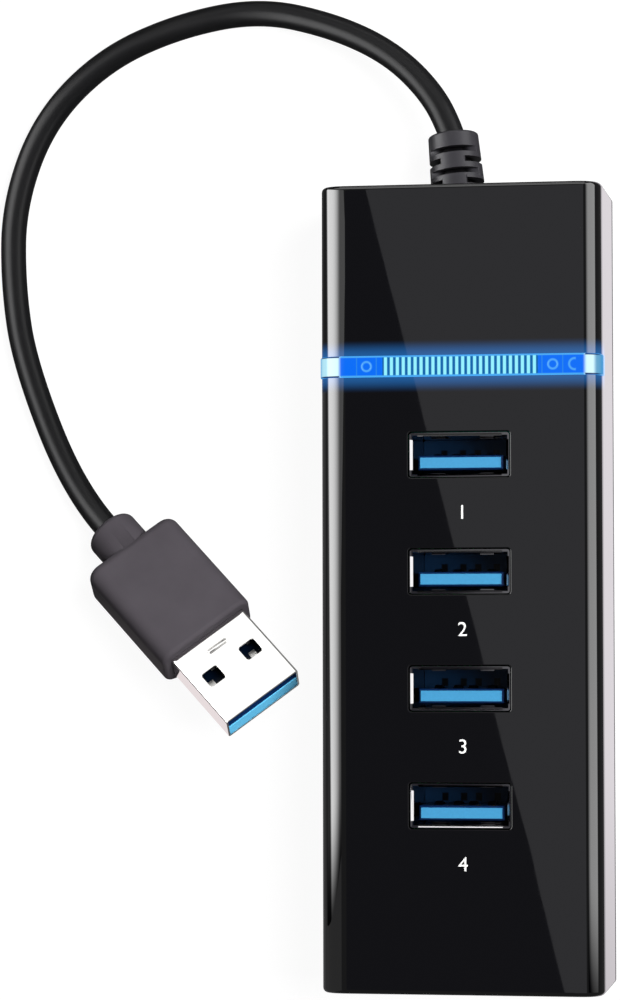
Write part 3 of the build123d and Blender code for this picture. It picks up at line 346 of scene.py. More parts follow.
def settle(
    piece: Object,
    material: Material,
    stands_for: Iterable[str] = (),
    place: Matrix = Matrix.Identity(4),
    angle: float = 35.0,
) -> Object:
    """Brings a finished piece to metres, smooths and dresses it, and ties it to the frame.

    Args:
        piece: The modelled piece, in millimetres.
        material: Its finish.
        stands_for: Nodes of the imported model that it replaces.
        place: Where the piece's own frame lies in the hub's frame, in metres.
        angle: Edges that turn less than this shade smoothly.

    Returns:
        The piece.
    """
    piece.data.transform(place @ TO_METRES)
    work_on(piece, Part.VERTS, lambda vert: True, partial(bpy.ops.mesh.remove_doubles, threshold=NEAR * MM))
    alone(piece)
    bpy.ops.object.shade_smooth_by_angle(angle=radians(angle))
    modify(piece, "WEIGHTED_NORMAL", keep_sharp=True)
    piece.data.materials.clear()
    piece.data.materials.append(material)
    for node in stands_for:
        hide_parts(node)
    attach(piece, "root")
    LOG.info("%s: %d faces", piece.name, len(piece.data.polygons))
    return piece


# Finishes


def colour(code: str) -> tuple[float, float, float, float]:
    """Turns an sRGB colour such as "#1a2b3c" to linear RGBA.

    Args:
        code: The colour, with a leading #.

    Returns:
        The colour with an alpha of one.
    """
    values = [int(code[place : place + 2], 16) / 255 for place in (1, 3, 5)]
    linear = [value / 12.92 if value <= 0.04045 else ((value + 0.055) / 1.055) ** 2.4 for value in values]
    return (*linear, 1.0)


def feed(node: ShaderNode, inputs: dict) -> None:
    """Sets or links inputs of a node, given by name or number.

    Args:
        node: The node.
        inputs: Values or linked outputs, by input.
    """
    for key, value in inputs.items():
        if isinstance(value, NodeSocket):
            node.id_data.links.new(value, node.inputs[key])
        else:
            node.inputs[key].default_value = value


def add_node(
    tree: NodeTree, kind: str, *values: object, named: dict | None = None, **settings: object
) -> NodeSocket | None:
    """Adds a node with its settings, values and links.

    Args:
        tree: The node tree to add it to.
        kind: The node's type, and its operation after a dot where it has one.
        values: Values or linked outputs for its first active inputs, in their order.
        named: The same for other inputs, by name.
        settings: Properties of the node.

    Returns:
        The node's first active output, or None where it has none.
    """
    kind, _, operation = kind.partition(".")
    node = tree.nodes.new("ShaderNode" + kind)
    for name, value in (settings | ({"operation": operation} if operation else {})).items():
        setattr(node, name, value)
    active = [number for number, socket in enumerate(node.inputs) if socket.enabled]
    feed(node, dict(zip(active, values)) | (named or {}))
    return next((socket for socket in node.outputs if socket.enabled), None)


def bare_tree(owner: Material | World) -> NodeTree:
    """The emptied node tree of a material or world.

    Args:
        owner: The material or world.

    Returns:
        Its node tree.
    """
    owner.use_nodes = True
    owner.node_tree.nodes.clear()
    return owner.node_tree


@dataclass(frozen=True)
class Finish:
    """A finish: its name, colour, and how it reflects. Subclasses add what its surface shows."""

    name: str
    colour: str
    roughness: float
    metallic: float = 0.0
    ior: float = 1.5

    def build(self) -> Material:
        """Makes the material, with a point in millimetres for its patterns.

        Returns:
            The material.
        """
        material = bpy.data.materials.new(self.name)
        material.use_nodes = True
        shader = material.node_tree.nodes["Principled BSDF"]
        plain = {"Base Color": colour(self.colour), "Roughness": self.roughness, "Metallic": self.metallic}
        feed(shader, plain if self.metallic else plain | {"IOR": self.ior})
        add = partial(add_node, material.node_tree)
        place = add("TexCoord").node.outputs["Object"]
        self.detail(add, shader, add("VectorMath.MULTIPLY", place, (1 / MM,) * 3))
        return material

    def detail(self, add: AddNode, shader: ShaderNode, point: NodeSocket) -> None:
        """Adds what the surface shows.

        Args:
            add: Adds a node to the material.
            shader: The material's shader node.
            point: The place on the piece, in millimetres.
        """

    def paint(self, add: AddNode, below: str, layers: Iterable[Layer]) -> NodeSocket:
        """Lays colours over one another.

        Args:
            add: Adds a node to the material.
            below: The lowest colour.
            layers: For each colour, a value, where it begins to show, where it covers, and the colour.

        Returns:
            The colour on top.
        """
        shade: object = colour(below)
        for value, start, full, above in layers:
            share = add("MapRange", value, start, full, **SMOOTH)
            shade = add("Mix", share, shade, colour(above), data_type="RGBA")
        return shade


@dataclass(frozen=True)
class MouldedPlastic(Finish):
    """Plastic from a textured mould: fine grain, and a little variation in gloss and tone."""

    # Grain and cloud are sizes in millimetres; tone and gloss are shares of the colour and roughness.
    grain: float = 0.2
    depth: float = 0.004
    tone: float = 0.15
    gloss: float = 0.12
    cloud: float = 4.0
    specular: float = 0.5

    def detail(self, add: AddNode, shader: ShaderNode, point: NodeSocket) -> None:
        """Adds grain, gloss variation and tone variation.

        Args:
            add: Adds a node to the material.
            shader: The material's shader node.
            point: The place on the piece, in millimetres.
        """
        grain = add("TexNoise", point, 1 / self.grain, 4.0)
        cloud = add("TexNoise", point, 1 / self.cloud, 3.0)
        low, high = self.roughness * (1 - self.gloss), self.roughness * (1 + self.gloss)
        gloss = add("MapRange", cloud, 0.0, 1.0, low, high)
        level = add("MapRange", cloud, 0.0, 1.0, 1 - self.tone, 1 + self.tone)
        shade = add("VectorMath.SCALE", colour(self.colour)[:3], level)
        bump = add("Bump", named={"Height": grain, "Distance": self.depth * MM, "Strength": 1.0})
        feed(shader, {"Base Color": shade, "Roughness": gloss, "Normal": bump})
        feed(shader, {"Specular IOR Level": self.specular})


@dataclass(frozen=True)
class SlottedPvc(MouldedPlastic):
    """Moulded PVC round a lead, with painted shade that darkens its slots towards the lead."""

    # Painted slot shade: the lead's foot and axis, the radii where it is full and where it ends, and its darkest
    # share.
    foot: Triple = GLAND
    axis: Triple = (-0.104, 0.989, -0.1045)
    floor_radius: float = 2.25
    mouth_radius: float = 2.95
    shade: float = 0.1

    def detail(self, add: AddNode, shader: ShaderNode, point: NodeSocket) -> None:
        """Adds the plastic's grain, then painted shade in the slots.

        Args:
            add: Adds a node to the material.
            shader: The material's shader node.
            point: The place on the piece, in millimetres.
        """
        super().detail(add, shader, point)
        # Painted shade: colour and specular level fall towards the lead, deep in the slots.
        away = add("VectorMath.SUBTRACT", point, self.foot)
        radius = add("VectorMath.LENGTH", add("VectorMath.CROSS_PRODUCT", away, self.axis))
        share = add("MapRange", radius, self.floor_radius, self.mouth_radius, self.shade, **SMOOTH)
        tone = add("VectorMath.SCALE", shader.inputs["Base Color"].links[0].from_socket, share)
        gleam = add("Math.MULTIPLY", share, self.specular)
        feed(shader, {"Base Color": tone, "Specular IOR Level": gleam})


@dataclass(frozen=True)
class PolishedAbs(Finish):
    """High-gloss black ABS: mirror-like, faintly wavy, with a painted blue glow beside the light bar."""

    mark_size: float = 5 / 3
    mark_roughness: float = 0.7
    marks: Pair = (0.4, 0.75)
    wave_size: float = 12.5
    wave_depth: float = 0.004
    # The painted glow beside the bar: how far it spreads, its colour, the heights where it fades out below the
    # bar, and its emission strength.
    reach: float = 2.1
    glow: str = "#3399ff"
    glow_ends: Pair = (17.4, 13.5)
    strength: float = 0.3

    def detail(self, add: AddNode, shader: ShaderNode, point: NodeSocket) -> None:
        """Adds handling marks in the gloss, the moulding's wave, and a painted blue glow beside the bar.

        Args:
            add: Adds a node to the material.
            shader: The material's shader node.
            point: The place on the piece, in millimetres.
        """
        marks = add("TexNoise", point, 1 / self.mark_size, 6.0, self.mark_roughness)
        gloss = add("MapRange", marks, *self.marks, self.roughness, self.roughness * 2)
        wave = add("TexNoise", point, 1 / self.wave_size, 1.0)
        bump = add("Bump", named={"Height": wave, "Distance": self.wave_depth * MM, "Strength": 1.0})
        # Painted blue glow: emission on the cover itself, full at the bar's groove and fading out sideways and
        # below it.
        _, along, up = add("SeparateXYZ", point).node.outputs
        distance = add("Math.ABSOLUTE", add("Math.SUBTRACT", along, LIGHT_Y))
        near = (distance, GROOVE_HALF + self.reach, GROOVE_HALF, self.glow)
        glow = self.paint(add, BLACK, [near, (up, *self.glow_ends, BLACK)])
        feed(shader, {"Roughness": gloss, "Normal": bump, "Emission Color": glow})
        feed(shader, {"Emission Strength": self.strength})


@dataclass(frozen=True)
class LitAcrylic(Finish):
    """Clear acrylic light pipe lit from below: deep blue, with bright ribs, bright ends and pale rings."""

    # Where each form starts to show and where it covers: ribs as shares of their pitch, others in mm.
    rib: Pair = (0.17, 0.31)
    seam: Pair = (0.12, 0.02)
    edge_inset: float = 0.24
    edge_fade: float = 0.12
    rim_fade: float = 0.14
    block_start: Pair = (-0.25, 0.35)
    block_end: Pair = (-0.1, 0.4)
    end_fade: float = 0.1
    # Bright ends: their inner and outer edges, and the colour past the outer one.
    blocks: tuple[tuple[float, float, str], ...] = ((-15.65, -17.2, "#b4e6f5"), (16.4, 17.5, "#6ba8c8"))
    arc: Pair = (15.15, 0.72)
    ring: Pair = (0.22, 0.04)
    seams: tuple[float, ...] = (-13.4, -10.8, 10.9, 13.6)
    low_end: Pair = (20.2, 18.6)
    body_colour: str = "#00102a"
    gap_colour: str = "#0b62a4"
    rib_colour: str = "#97f3ff"
    end_colour: str = "#d8fcff"
    ring_colour: str = "#4fa6f4"
    seam_colour: str = "#2b86e6"
    edge_colour: str = "#4aa9ee"
    # Painted shadow line along the edges beside the bright ends.
    rim_colour: str = "#04245c"
    side_colour: str = "#3f95cf"

    def detail(self, add: AddNode, shader: ShaderNode, point: NodeSocket) -> None:
        """Adds the pattern of light: ribs, rings, seams, edge lines and the bright blocks at both ends, with a
        painted shadow line along the edges beside those blocks.

        Args:
            add: Adds a node to the material.
            shader: The material's shader node.
            point: The place on the piece, in millimetres.
        """
        across, along, up = add("SeparateXYZ", point).node.outputs
        side = add("Math.ABSOLUTE", add("Math.SUBTRACT", along, LIGHT_Y))
        rib_end = RIB_START + RIB_COUNT * RIB_PITCH
        phase = add("Math.PINGPONG", add("Math.SUBTRACT", across, RIB_START), RIB_PITCH / 2)
        layers = [
            (phase, RIB_PITCH * self.rib[0], RIB_PITCH * self.rib[1], self.rib_colour),
            (across, RIB_START, RIB_START - self.end_fade, self.colour),
            (across, rib_end, rib_end + self.end_fade, self.colour),
        ]
        layers += self.rings(add, point, across)
        for seam in self.seams:
            line = add("Math.ABSOLUTE", add("Math.SUBTRACT", across, seam))
            layers.append((line, *self.seam, self.seam_colour))
        edge = BAR_HALF - self.edge_inset
        layers.append((side, edge, edge + self.edge_fade, self.edge_colour))
        for inner, outer, outer_colour in self.blocks:
            way = 1 if outer > inner else -1
            spans = (inner, self.block_start, self.end_colour), (outer, self.block_end, outer_colour)
            for place, (near, far), tint in spans:
                layers.append((across, place + near * way, place + far * way, tint))
            # Painted shadow line: dark navy along the bar's long edges beside each bright end block.
            past = add("Math.MULTIPLY_ADD", across, way, edge - abs(inner))
            layers.append((add("Math.MINIMUM", side, past), edge, edge + self.rim_fade, self.rim_colour))
        layers.append((up, *self.low_end, self.side_colour))
        feed(shader, {"Emission Color": self.paint(add, self.gap_colour, layers)})
        feed(shader, {"Base Color": colour(self.body_colour), "Emission Strength": 1.0})

    def rings(self, add: AddNode, point: NodeSocket, across: NodeSocket) -> list[Layer]:
        """The rings over the lamps, and the open arc at one end.

        Args:
            add: Adds a node to the material.
            point: The place on the piece, in millimetres.
            across: The place along the X axis, in millimetres.

        Returns:
            A layer of colour for each.
        """
        flat = add("VectorMath.MULTIPLY", point, (1, 1, 0))
        layers = []
        for middle, radius in (*((ring, RING_RADIUS) for ring in RINGS), self.arc):
            away = add("VectorMath.DISTANCE", flat, (middle, LIGHT_Y, 0.0))
            line = add("Math.ABSOLUTE", add("Math.SUBTRACT", away, radius))
            if middle == self.arc[0]:
                line = add("Math.MAXIMUM", line, add("Math.SUBTRACT", across, middle))
            layers.append((line, *self.ring, self.ring_colour))
        return layers


@dataclass(frozen=True)
class PlatedMetal(Finish):
    """Plated sheet metal: bright, with fine drawing lines along one axis and a faint cloud in the gloss."""

    metallic: float = 1.0
    # Lines to a millimetre along each axis, the cloud's size, and how far it moves the roughness.
    lines: Triple = (12.0, 0.4, 12.0)
    line_depth: float = 0.0006
    cloud: float = 2.0
    gloss: Pair = (0.7, 1.4)

    def detail(self, add: AddNode, shader: ShaderNode, point: NodeSocket) -> None:
        """Adds the drawing lines and the gloss variation.

        Args:
            add: Adds a node to the material.
            shader: The material's shader node.
            point: The place on the piece, in millimetres.
        """
        lines = add("TexNoise", add("VectorMath.MULTIPLY", point, self.lines), 1.0, 3.0)
        cloud = add("TexNoise", point, 1 / self.cloud, 4.0)
        low, high = self.roughness * self.gloss[0], self.roughness * self.gloss[1]
        gloss = add("MapRange", cloud, 0.0, 1.0, low, high)
        bump = add("Bump", named={"Height": lines, "Distance": self.line_depth * MM, "Strength": 1.0})
        feed(shader, {"Roughness": gloss, "Normal": bump})


@dataclass(frozen=True)
class LitPbt(Finish):
    """Blue glass-filled PBT of an insulator, with painted light pale on the end face and painted shade dark deeper
    down.
    """

    # Painted light and shade: their colours, the end face's place and outward way, and where each starts and
    # covers.
    tip_colour: str = "#3d8ab6"
    deep_colour: str = "#0a2744"
    tip: Triple = (0.0, 0.0, 19.4)
    outward: Triple = (0.0, 0.0, 1.0)
    face: Pair = (0.04, 0.0)
    fall: Pair = (0.35, 4.0)
    fibre: float = 1 / 3
    tone: Pair = (0.9, 1.1)
    specular: float = 0.25

    def detail(self, add: AddNode, shader: ShaderNode, point: NodeSocket) -> None:
        """Adds painted light pale at the end face, painted shade dark further in, and fine fibres.

        Args:
            add: Adds a node to the material.
            shader: The material's shader node.
            point: The place on the piece, in millimetres.
        """
        # Painted light on the end face, and painted shade that deepens with the distance below it.
        depth = add("VectorMath.DOT_PRODUCT", add("VectorMath.SUBTRACT", self.tip, point), self.outward)
        deep = (depth, *self.fall, self.deep_colour)
        end = (depth, *self.face, self.tip_colour)
        shade = self.paint(add, self.colour, [deep, *self.marks(add, point, depth), end])
        pale = add("MapRange", add("TexNoise", point, 1 / self.fibre, 5.0), 0.0, 1.0, *self.tone)
        shade = add("VectorMath.SCALE", shade, pale)
        feed(shader, {"Base Color": shade, "Specular IOR Level": self.specular})

    def marks(self, add: AddNode, point: NodeSocket, depth: NodeSocket) -> list[Layer]:
        """What else its surface shows: nothing."""
        return []


@dataclass(frozen=True)
class SocketPbt(LitPbt):
    """Blue PBT of the sockets, with painted shadows of the channels for the sprung contacts in its base."""

    # Painted channel shadows: their distances from the middle, then their place and slack along the socket.
    channels: Pair = (1.0, 3.5)
    channel_y: Pair = (0.68, 0.1)
    channel_half: float = 0.45
    channel_depth: float = 5.5
    channel_edge: Pair = (0.05, 0.1)
    channel_colour: str = "#000104"

    def marks(self, add: AddNode, point: NodeSocket, depth: NodeSocket) -> list[Layer]:
        """The painted channel shadows, at their distances from the middle of every socket.

        Args:
            add: Adds a node to the material.
            point: The place on the piece, in millimetres.
            depth: How far below the end face, in millimetres.

        Returns:
            The layers of colour between the depths and the end face.
        """
        across, along, _ = add("SeparateXYZ", point).node.outputs
        half = (PORTS[0] - PORTS[1]) / 2
        local = add("Math.WRAP", add("Math.SUBTRACT", along, PORTS[0]), half, -half)
        deep = add("Math.SUBTRACT", self.channel_depth, depth)
        reach = add("Math.ABSOLUTE", across)
        outer, inner = self.channel_half + self.channel_edge[0], self.channel_half - self.channel_edge[1]
        layers = []
        # Painted channel shadows: a near-black patch over each channel, deeper than the channel depth below the
        # end face.
        for x in self.channels:
            far = deep
            for value, middle, less in ((reach, x, 0.0), (local, *self.channel_y)):
                gap = add("Math.ABSOLUTE", add("Math.SUBTRACT", value, middle))
                far = add("Math.MAXIMUM", far, add("Math.SUBTRACT", gap, less))
            layers.append((far, outer, inner, self.channel_colour))
        return layers


@dataclass(frozen=True)
class Laminate(Finish):
    """Green glass-epoxy board: solder mask over copper tracks and a fine glass weave."""

    track: str = "#2f8f4e"
    pitch: float = 1.6
    track_width: float = 0.08
    weave: float = 0.25
    weave_depth: float = 0.01

    def detail(self, add: AddNode, shader: ShaderNode, point: NodeSocket) -> None:
        """Adds tracks and weave.

        Args:
            add: Adds a node to the material.
            shader: The material's shader node.
            point: The place on the piece, in millimetres.
        """
        mask = colour(self.colour)
        tracks = add("TexBrick", point, mask, mask, colour(self.track), 1 / self.pitch, self.track_width)
        weave = add("TexWave", point, 1 / self.weave, 1.0).node.outputs["Fac"]
        bump = add("Bump", named={"Height": weave, "Distance": self.weave_depth * MM, "Strength": 1.0})
        feed(shader, {"Base Color": tracks, "Normal": bump})


@dataclass(frozen=True)
class Ink(Finish):
    """White pad-printed ink: opaque, slightly uneven at its edges."""

    film: float = 0.2
    tone: Pair = (0.92, 1.0)

    def detail(self, add: AddNode, shader: ShaderNode, point: NodeSocket) -> None:
        """Adds a faint unevenness of the ink film."""
        level = add("MapRange", add("TexNoise", point, 1 / self.film, 4.0), 0.0, 1.0, *self.tone)
        feed(shader, {"Base Color": add("VectorMath.SCALE", colour(self.colour)[:3], level)})


def plug_axis() -> tuple[Vector, Vector]:
    """The middle of the plug's open end, in millimetres, and the way it points."""
    mount = next(item for item in frame["record"]["mounts"] if item["name"] == "plug")
    return Vector(mount["pos_m"]) / MM, Vector(mount["axis"]).normalized()


class Finishes:
    """Every finish of the hub, built once."""

    def __init__(self) -> None:
        """Builds the materials."""
        # A polished mould makes it a black mirror, with faint waves and a painted blue glow beside the bar.
        self.gloss_abs = PolishedAbs("polished black ABS", "#030304", 0.01, ior=1.8).build()
        # A spark-eroded mould makes it an even, dull black.
        self.matt_abs = MouldedPlastic("spark-textured black ABS", "#151517", 0.55, grain=0.3).build()
        # Clear and lit from below, it glows blue with bright ribs.
        self.acrylic = LitAcrylic("clear acrylic, lit blue", "#0a6cf4", 0.12, ior=1.3).build()
        # A printed film: flat, and a little uneven.
        self.ink = Ink("white pad-print ink", "#f4f4f2", 0.4).build()
        # Moulded rubber: the dullest piece, with a coarse grain.
        self.rubber = MouldedPlastic("black TPE rubber", "#1b1b1d", 0.8, grain=0.4, depth=0.01).build()
        # Black passivated zinc: dark metal with a soft gloss.
        self.zinc = PlatedMetal("black zinc-plated steel", "#6b6b70", 0.35).build()
        # Solder mask over copper: green, with paler tracks and a fine weave.
        self.board = Laminate("green glass-epoxy laminate", "#0f4a2a", 0.35).build()
        # Moulded epoxy: flat charcoal.
        self.epoxy = MouldedPlastic("black moulded epoxy", "#1c1c1e", 0.5, grain=0.15).build()
        # Drawn metal: warm silver, half bright.
        self.can = PlatedMetal("drawn nickel silver can", "#c9c6bf", 0.25).build()
        # Drawn metal: cool silver with a soft gloss.
        self.aluminium = PlatedMetal("drawn aluminium can", "#d4d5d7", 0.3).build()
        # Moulded PPA: creamy white.
        self.lamp = MouldedPlastic("white PPA lamp package", "#e6e2d2", 0.45).build()
        # A coated polymer: flat green.
        self.fuse = MouldedPlastic("green polymer fuse", "#2c6a44", 0.5).build()
        # Fired ceramic: flat tan.
        self.tan = MouldedPlastic("tan barium titanate", "#8e6a49", 0.45).build()
        # Glazed ceramic: nearly black, a little glossy.
        self.alumina = MouldedPlastic("black glazed alumina", "#1a1b20", 0.3).build()
        # Extruded PVC: smooth, satin and black.
        self.cord = MouldedPlastic(
            "satin black PVC jacket", "#0f0f10", 0.38, grain=0.5, depth=0.006, tone=0.1, specular=0.2
        ).build()
        # A textured mould leaves it matt, with hardly a gleam.
        self.grip = MouldedPlastic(
            "matt charcoal PVC overmould", "#4a464b", 0.6, grain=0.22, depth=0.006, specular=0.05
        ).build()
        # Smoother than the grip, with painted shade that darkens its slots inwards.
        self.relief = SlottedPvc(
            "satin charcoal PVC overmould", "#28272b", 0.42, grain=0.3, depth=0.008, specular=0.4
        ).build()
        # Extruded PVC: a dull red for the whole bundle.
        self.wire = MouldedPlastic("red and white PVC wire", "#b9463f", 0.45).build()
        # Bright nickel on polished strip: a nearly white mirror.
        self.nickel = PlatedMetal("bright nickel-plated steel", "#f4f3f1", 0.07, line_depth=0.0003).build()
        # Nickel painted grey as shade for its dark well: a grey mirror.
        self.satin = PlatedMetal("satin nickel-plated steel", "#9b9a9b", 0.05, line_depth=0.0003).build()
        # Glass-filled PBT: matt blue, with painted light paler on its end, painted shade deeper down and painted
        # channel shadows.
        self.tongue = SocketPbt("blue PBT", "#06224c", 0.4).build()
        tip, outward = plug_axis()
        # The same PBT deep in a bright shell: painted light pale in front and painted shade nearly black behind.
        self.core = LitPbt(
            "blue PBT of the plug",
            "#06224c",
            0.4,
            tip_colour="#6cd0ff",
            deep_colour="#020a18",
            tip=tuple(tip),
            outward=tuple(outward),
            face=(0.35, 0.2),
            fall=(0.4, 3.0),
        ).build()
        # A flash of gold: warm and fairly bright.
        self.gold = PlatedMetal("gold-flashed phosphor bronze", "#d9b36a", 0.22).build()
        # Tin painted dark grey as shade deep in the sockets, with a soft gloss.
        self.tin = PlatedMetal("dull tin-plated bronze", "#3c3e44", 0.45).build()
        # Bright tin: pale silver with a soft gloss.
        self.silver = PlatedMetal("bright tin-plated bronze", "#ecebe8", 0.3).build()


# Studio


@dataclass(frozen=True)
class Fade:
    """A smooth step of a card's light along a direction, from one share to another."""

    along: Triple
    start: float
    end: float
    before: float = 0.0
    after: float = 1.0


@dataclass
class Card:
    """A flat studio card that only reflections show."""

    name: str
    corners: Corners
    radiance: float
    fades: tuple[Fade, ...] = ()
    tint: str = "#ffffff"

    def build(self) -> Object:
        """Makes the card, with its light faded where its fades say.

        Returns:
            The card.
        """
        card = form(self.name, bpy.ops.mesh.primitive_plane_add, size=1)
        first, second, third, fourth = self.corners
        for vert, corner in zip(card.data.vertices, (first, second, fourth, third)):
            vert.co = Vector(corner) * MM
        material = bpy.data.materials.new(self.name)
        add = partial(add_node, bare_tree(material))
        place = add("TexCoord").node.outputs["Object"]
        level: float | NodeSocket = self.radiance
        for fade in self.fades:
            reach = add("VectorMath.DOT_PRODUCT", place, fade.along)
            step = add("MapRange", reach, fade.start * MM, fade.end * MM, fade.before, fade.after, **SMOOTH)
            level = add("Math.MULTIPLY", step, level)
        add("OutputMaterial", add("Emission", colour(self.tint), level))
        card.data.materials.append(material)
        for ray in ("camera", "diffuse", "transmission", "volume_scatter", "shadow"):
            setattr(card, f"visible_{ray}", False)
        return card


def upright(x: float, low_y: float, high_y: float, low_z: float, high_z: float) -> Corners:
    """Corners of a card that stands across the X axis."""
    return ((x, low_y, low_z), (x, high_y, low_z), (x, high_y, high_z), (x, low_y, high_z))


def standing(y: float, low_x: float, high_x: float, low_z: float, high_z: float) -> Corners:
    """Corners of a card that stands across the Y axis."""
    return ((low_x, y, low_z), (high_x, y, low_z), (high_x, y, high_z), (low_x, y, high_z))


def lying(z: float, low_x: float, high_x: float, low_y: float, high_y: float) -> Corners:
    """Corners of a card that lies level."""
    return ((low_x, low_y, z), (high_x, low_y, z), (high_x, high_y, z), (low_x, high_y, z))


@dataclass
class Studio:
    """Camera, floor, lamps and cards."""

    camera_place: Triple = (57.58, -6.71, 481.6)
    camera_turn: Triple = (2.22, 9.52, -0.10)
    lens: float = 128.6
    sensor: float = 36.0
    sky: float = 0.3
    sky_low: float = 0.04
    sky_span: Pair = (-0.35, 0.5)
    gloom: float = 0.1
    bounce: float = 0.06
    shadow: float = 0.1
    table_glow: float = 0.945
    lamp_size: float = 0.4
    lamp_power: float = 7.0
    lamp_place: Triple = (0.34, 0.1, 0.56)
    cards: list[Card] = field(
        default_factory=lambda: [
            Card(
                "left softbox",
                upright(-117, -52, 110, 15, 290),
                7.5,
                (
                    Fade((0, 0.4, 1), 41, 65, 0.03),
                    Fade((0, -0.2, 1), 75, 275, 1.0, 0.1),
                    Fade((0, 1, 0), -53, -33, 0.03),
                ),
            ),
            Card("dim flag beside the left wall", upright(-20.6, -80, 26, 0.8, 19.4), 0.2),
            Card("left softbox, dim side", upright(-117, -220, -52, 2, 290), 0.24),
            Card(
                "left softbox, faint end",
                ((-117, 2, 290), (-117, 110, 290), (-117, 110, 525), (-117, 92, 525)),
                0.75,
            ),
            Card(
                "right softbox",
                ((118, -62, 8), (118, 200, 8), (118, 200, 182), (118, -71, 182)),
                2.9,
                (Fade((0, 0, 1), 9, 22), Fade((0, 0, 1), 105, 182, 1.0, 0.0), Fade((0, 1, 0), -68, -45)),
            ),
            Card(
                "white strip by the wall",
                lying(0.05, 18.6, 27, -75, 75),
                1.2,
                (Fade((0, 1, 0), -60, -20, 0.8),),
                "#f6f0f5",
            ),
            Card("white card by the plug", lying(0.1, -56, -30, -30, 2), 0.85, tint="#fff4f6"),
            Card("white card behind", standing(200, -130, 130, 80, 270), 1.25),
            Card("low card behind", standing(200, -60, 60, 21, 45), 3.4, (Fade((0, 0, 1), 22, 31),)),
            Card(
                "grey panel",
                ((-82, 112.3, 481), (-15.3, -160, 481), (230, -160, 481), (230, 180, 481)),
                0.35,
                tint="#f4f4fb",
            ),
            Card(
                "black flag",
                ((-82, 112.3, 481), (-15.3, -160, 481), (-107, -160, 481), (-107, 112.3, 481)),
                0.085,
                tint="#dfdff2",
            ),
        ]
    )

    def build(self) -> None:
        """Sets up the camera first, then the world, the floor, the lamp and the cards."""
        bpy.context.scene.view_settings.view_transform = "Standard"
        data = bpy.data.cameras.new("camera")
        data.lens, data.sensor_width = self.lens, self.sensor
        camera = bpy.data.objects.new("camera", data)
        camera.location = Vector(self.camera_place) * MM
        camera.rotation_euler = [radians(angle) for angle in self.camera_turn]
        bpy.context.scene.collection.objects.link(camera)
        bpy.context.scene.camera = camera
        self.make_world()
        self.make_floor()
        lamp = bpy.data.lights.new("overhead lamp", "AREA")
        lamp.shape, lamp.size, lamp.energy = "DISK", self.lamp_size, self.lamp_power
        over = bpy.data.objects.new("overhead lamp", lamp)
        over.location = self.lamp_place
        over.rotation_euler = (-Vector(self.lamp_place)).to_track_quat("-Z", "Y").to_euler()
        over.visible_glossy = False
        bpy.context.scene.collection.objects.link(over)
        for card in self.cards:
            card.build()

    def make_world(self) -> None:
        """A white room to the camera, a dim one to reflections, and a plain level of light otherwise."""
        world = bpy.data.worlds.new("white room")
        bpy.context.scene.world = world
        add = partial(add_node, bare_tree(world))
        seen = add("LightPath").node.outputs
        way = add("TexCoord").node.outputs["Generated"]
        across = add("SeparateXYZ", way).node.outputs["X"]
        sky = add("MapRange", across, *self.sky_span, self.sky_low * self.sky, self.sky)
        level = add("MapRange", seen["Is Glossy Ray"], 0.0, 1.0, sky, self.gloom)
        level = add("Math.MAXIMUM", level, seen["Is Camera Ray"])
        add("OutputWorld", add("Background", WHITE, level))

    def make_floor(self) -> None:
        """A white table that keeps a faint shadow of the hub."""
        floor = form("white table", bpy.ops.mesh.primitive_plane_add, size=4)
        material = bpy.data.materials.new("white table")
        add = partial(add_node, bare_tree(material))
        seen = add("LightPath").node.outputs
        plain = add("BsdfDiffuse", (self.bounce, self.bounce, self.bounce, 1))
        lit = add("BsdfDiffuse", (self.shadow, self.shadow, self.shadow, 1))
        white = add("AddShader", lit, add("Emission", WHITE, self.table_glow))
        shown = add("MixShader", seen["Is Camera Ray"], plain, white)
        mix = add("MixShader", seen["Is Glossy Ray"], shown, add("Emission", WHITE, self.gloom))
        add("OutputMaterial", mix)
        floor.data.materials.append(material)


# Lead


def on_axis(y: float) -> Triple:
    """A point on the strain relief's own axis."""
    return (0.0, y, 0.0)


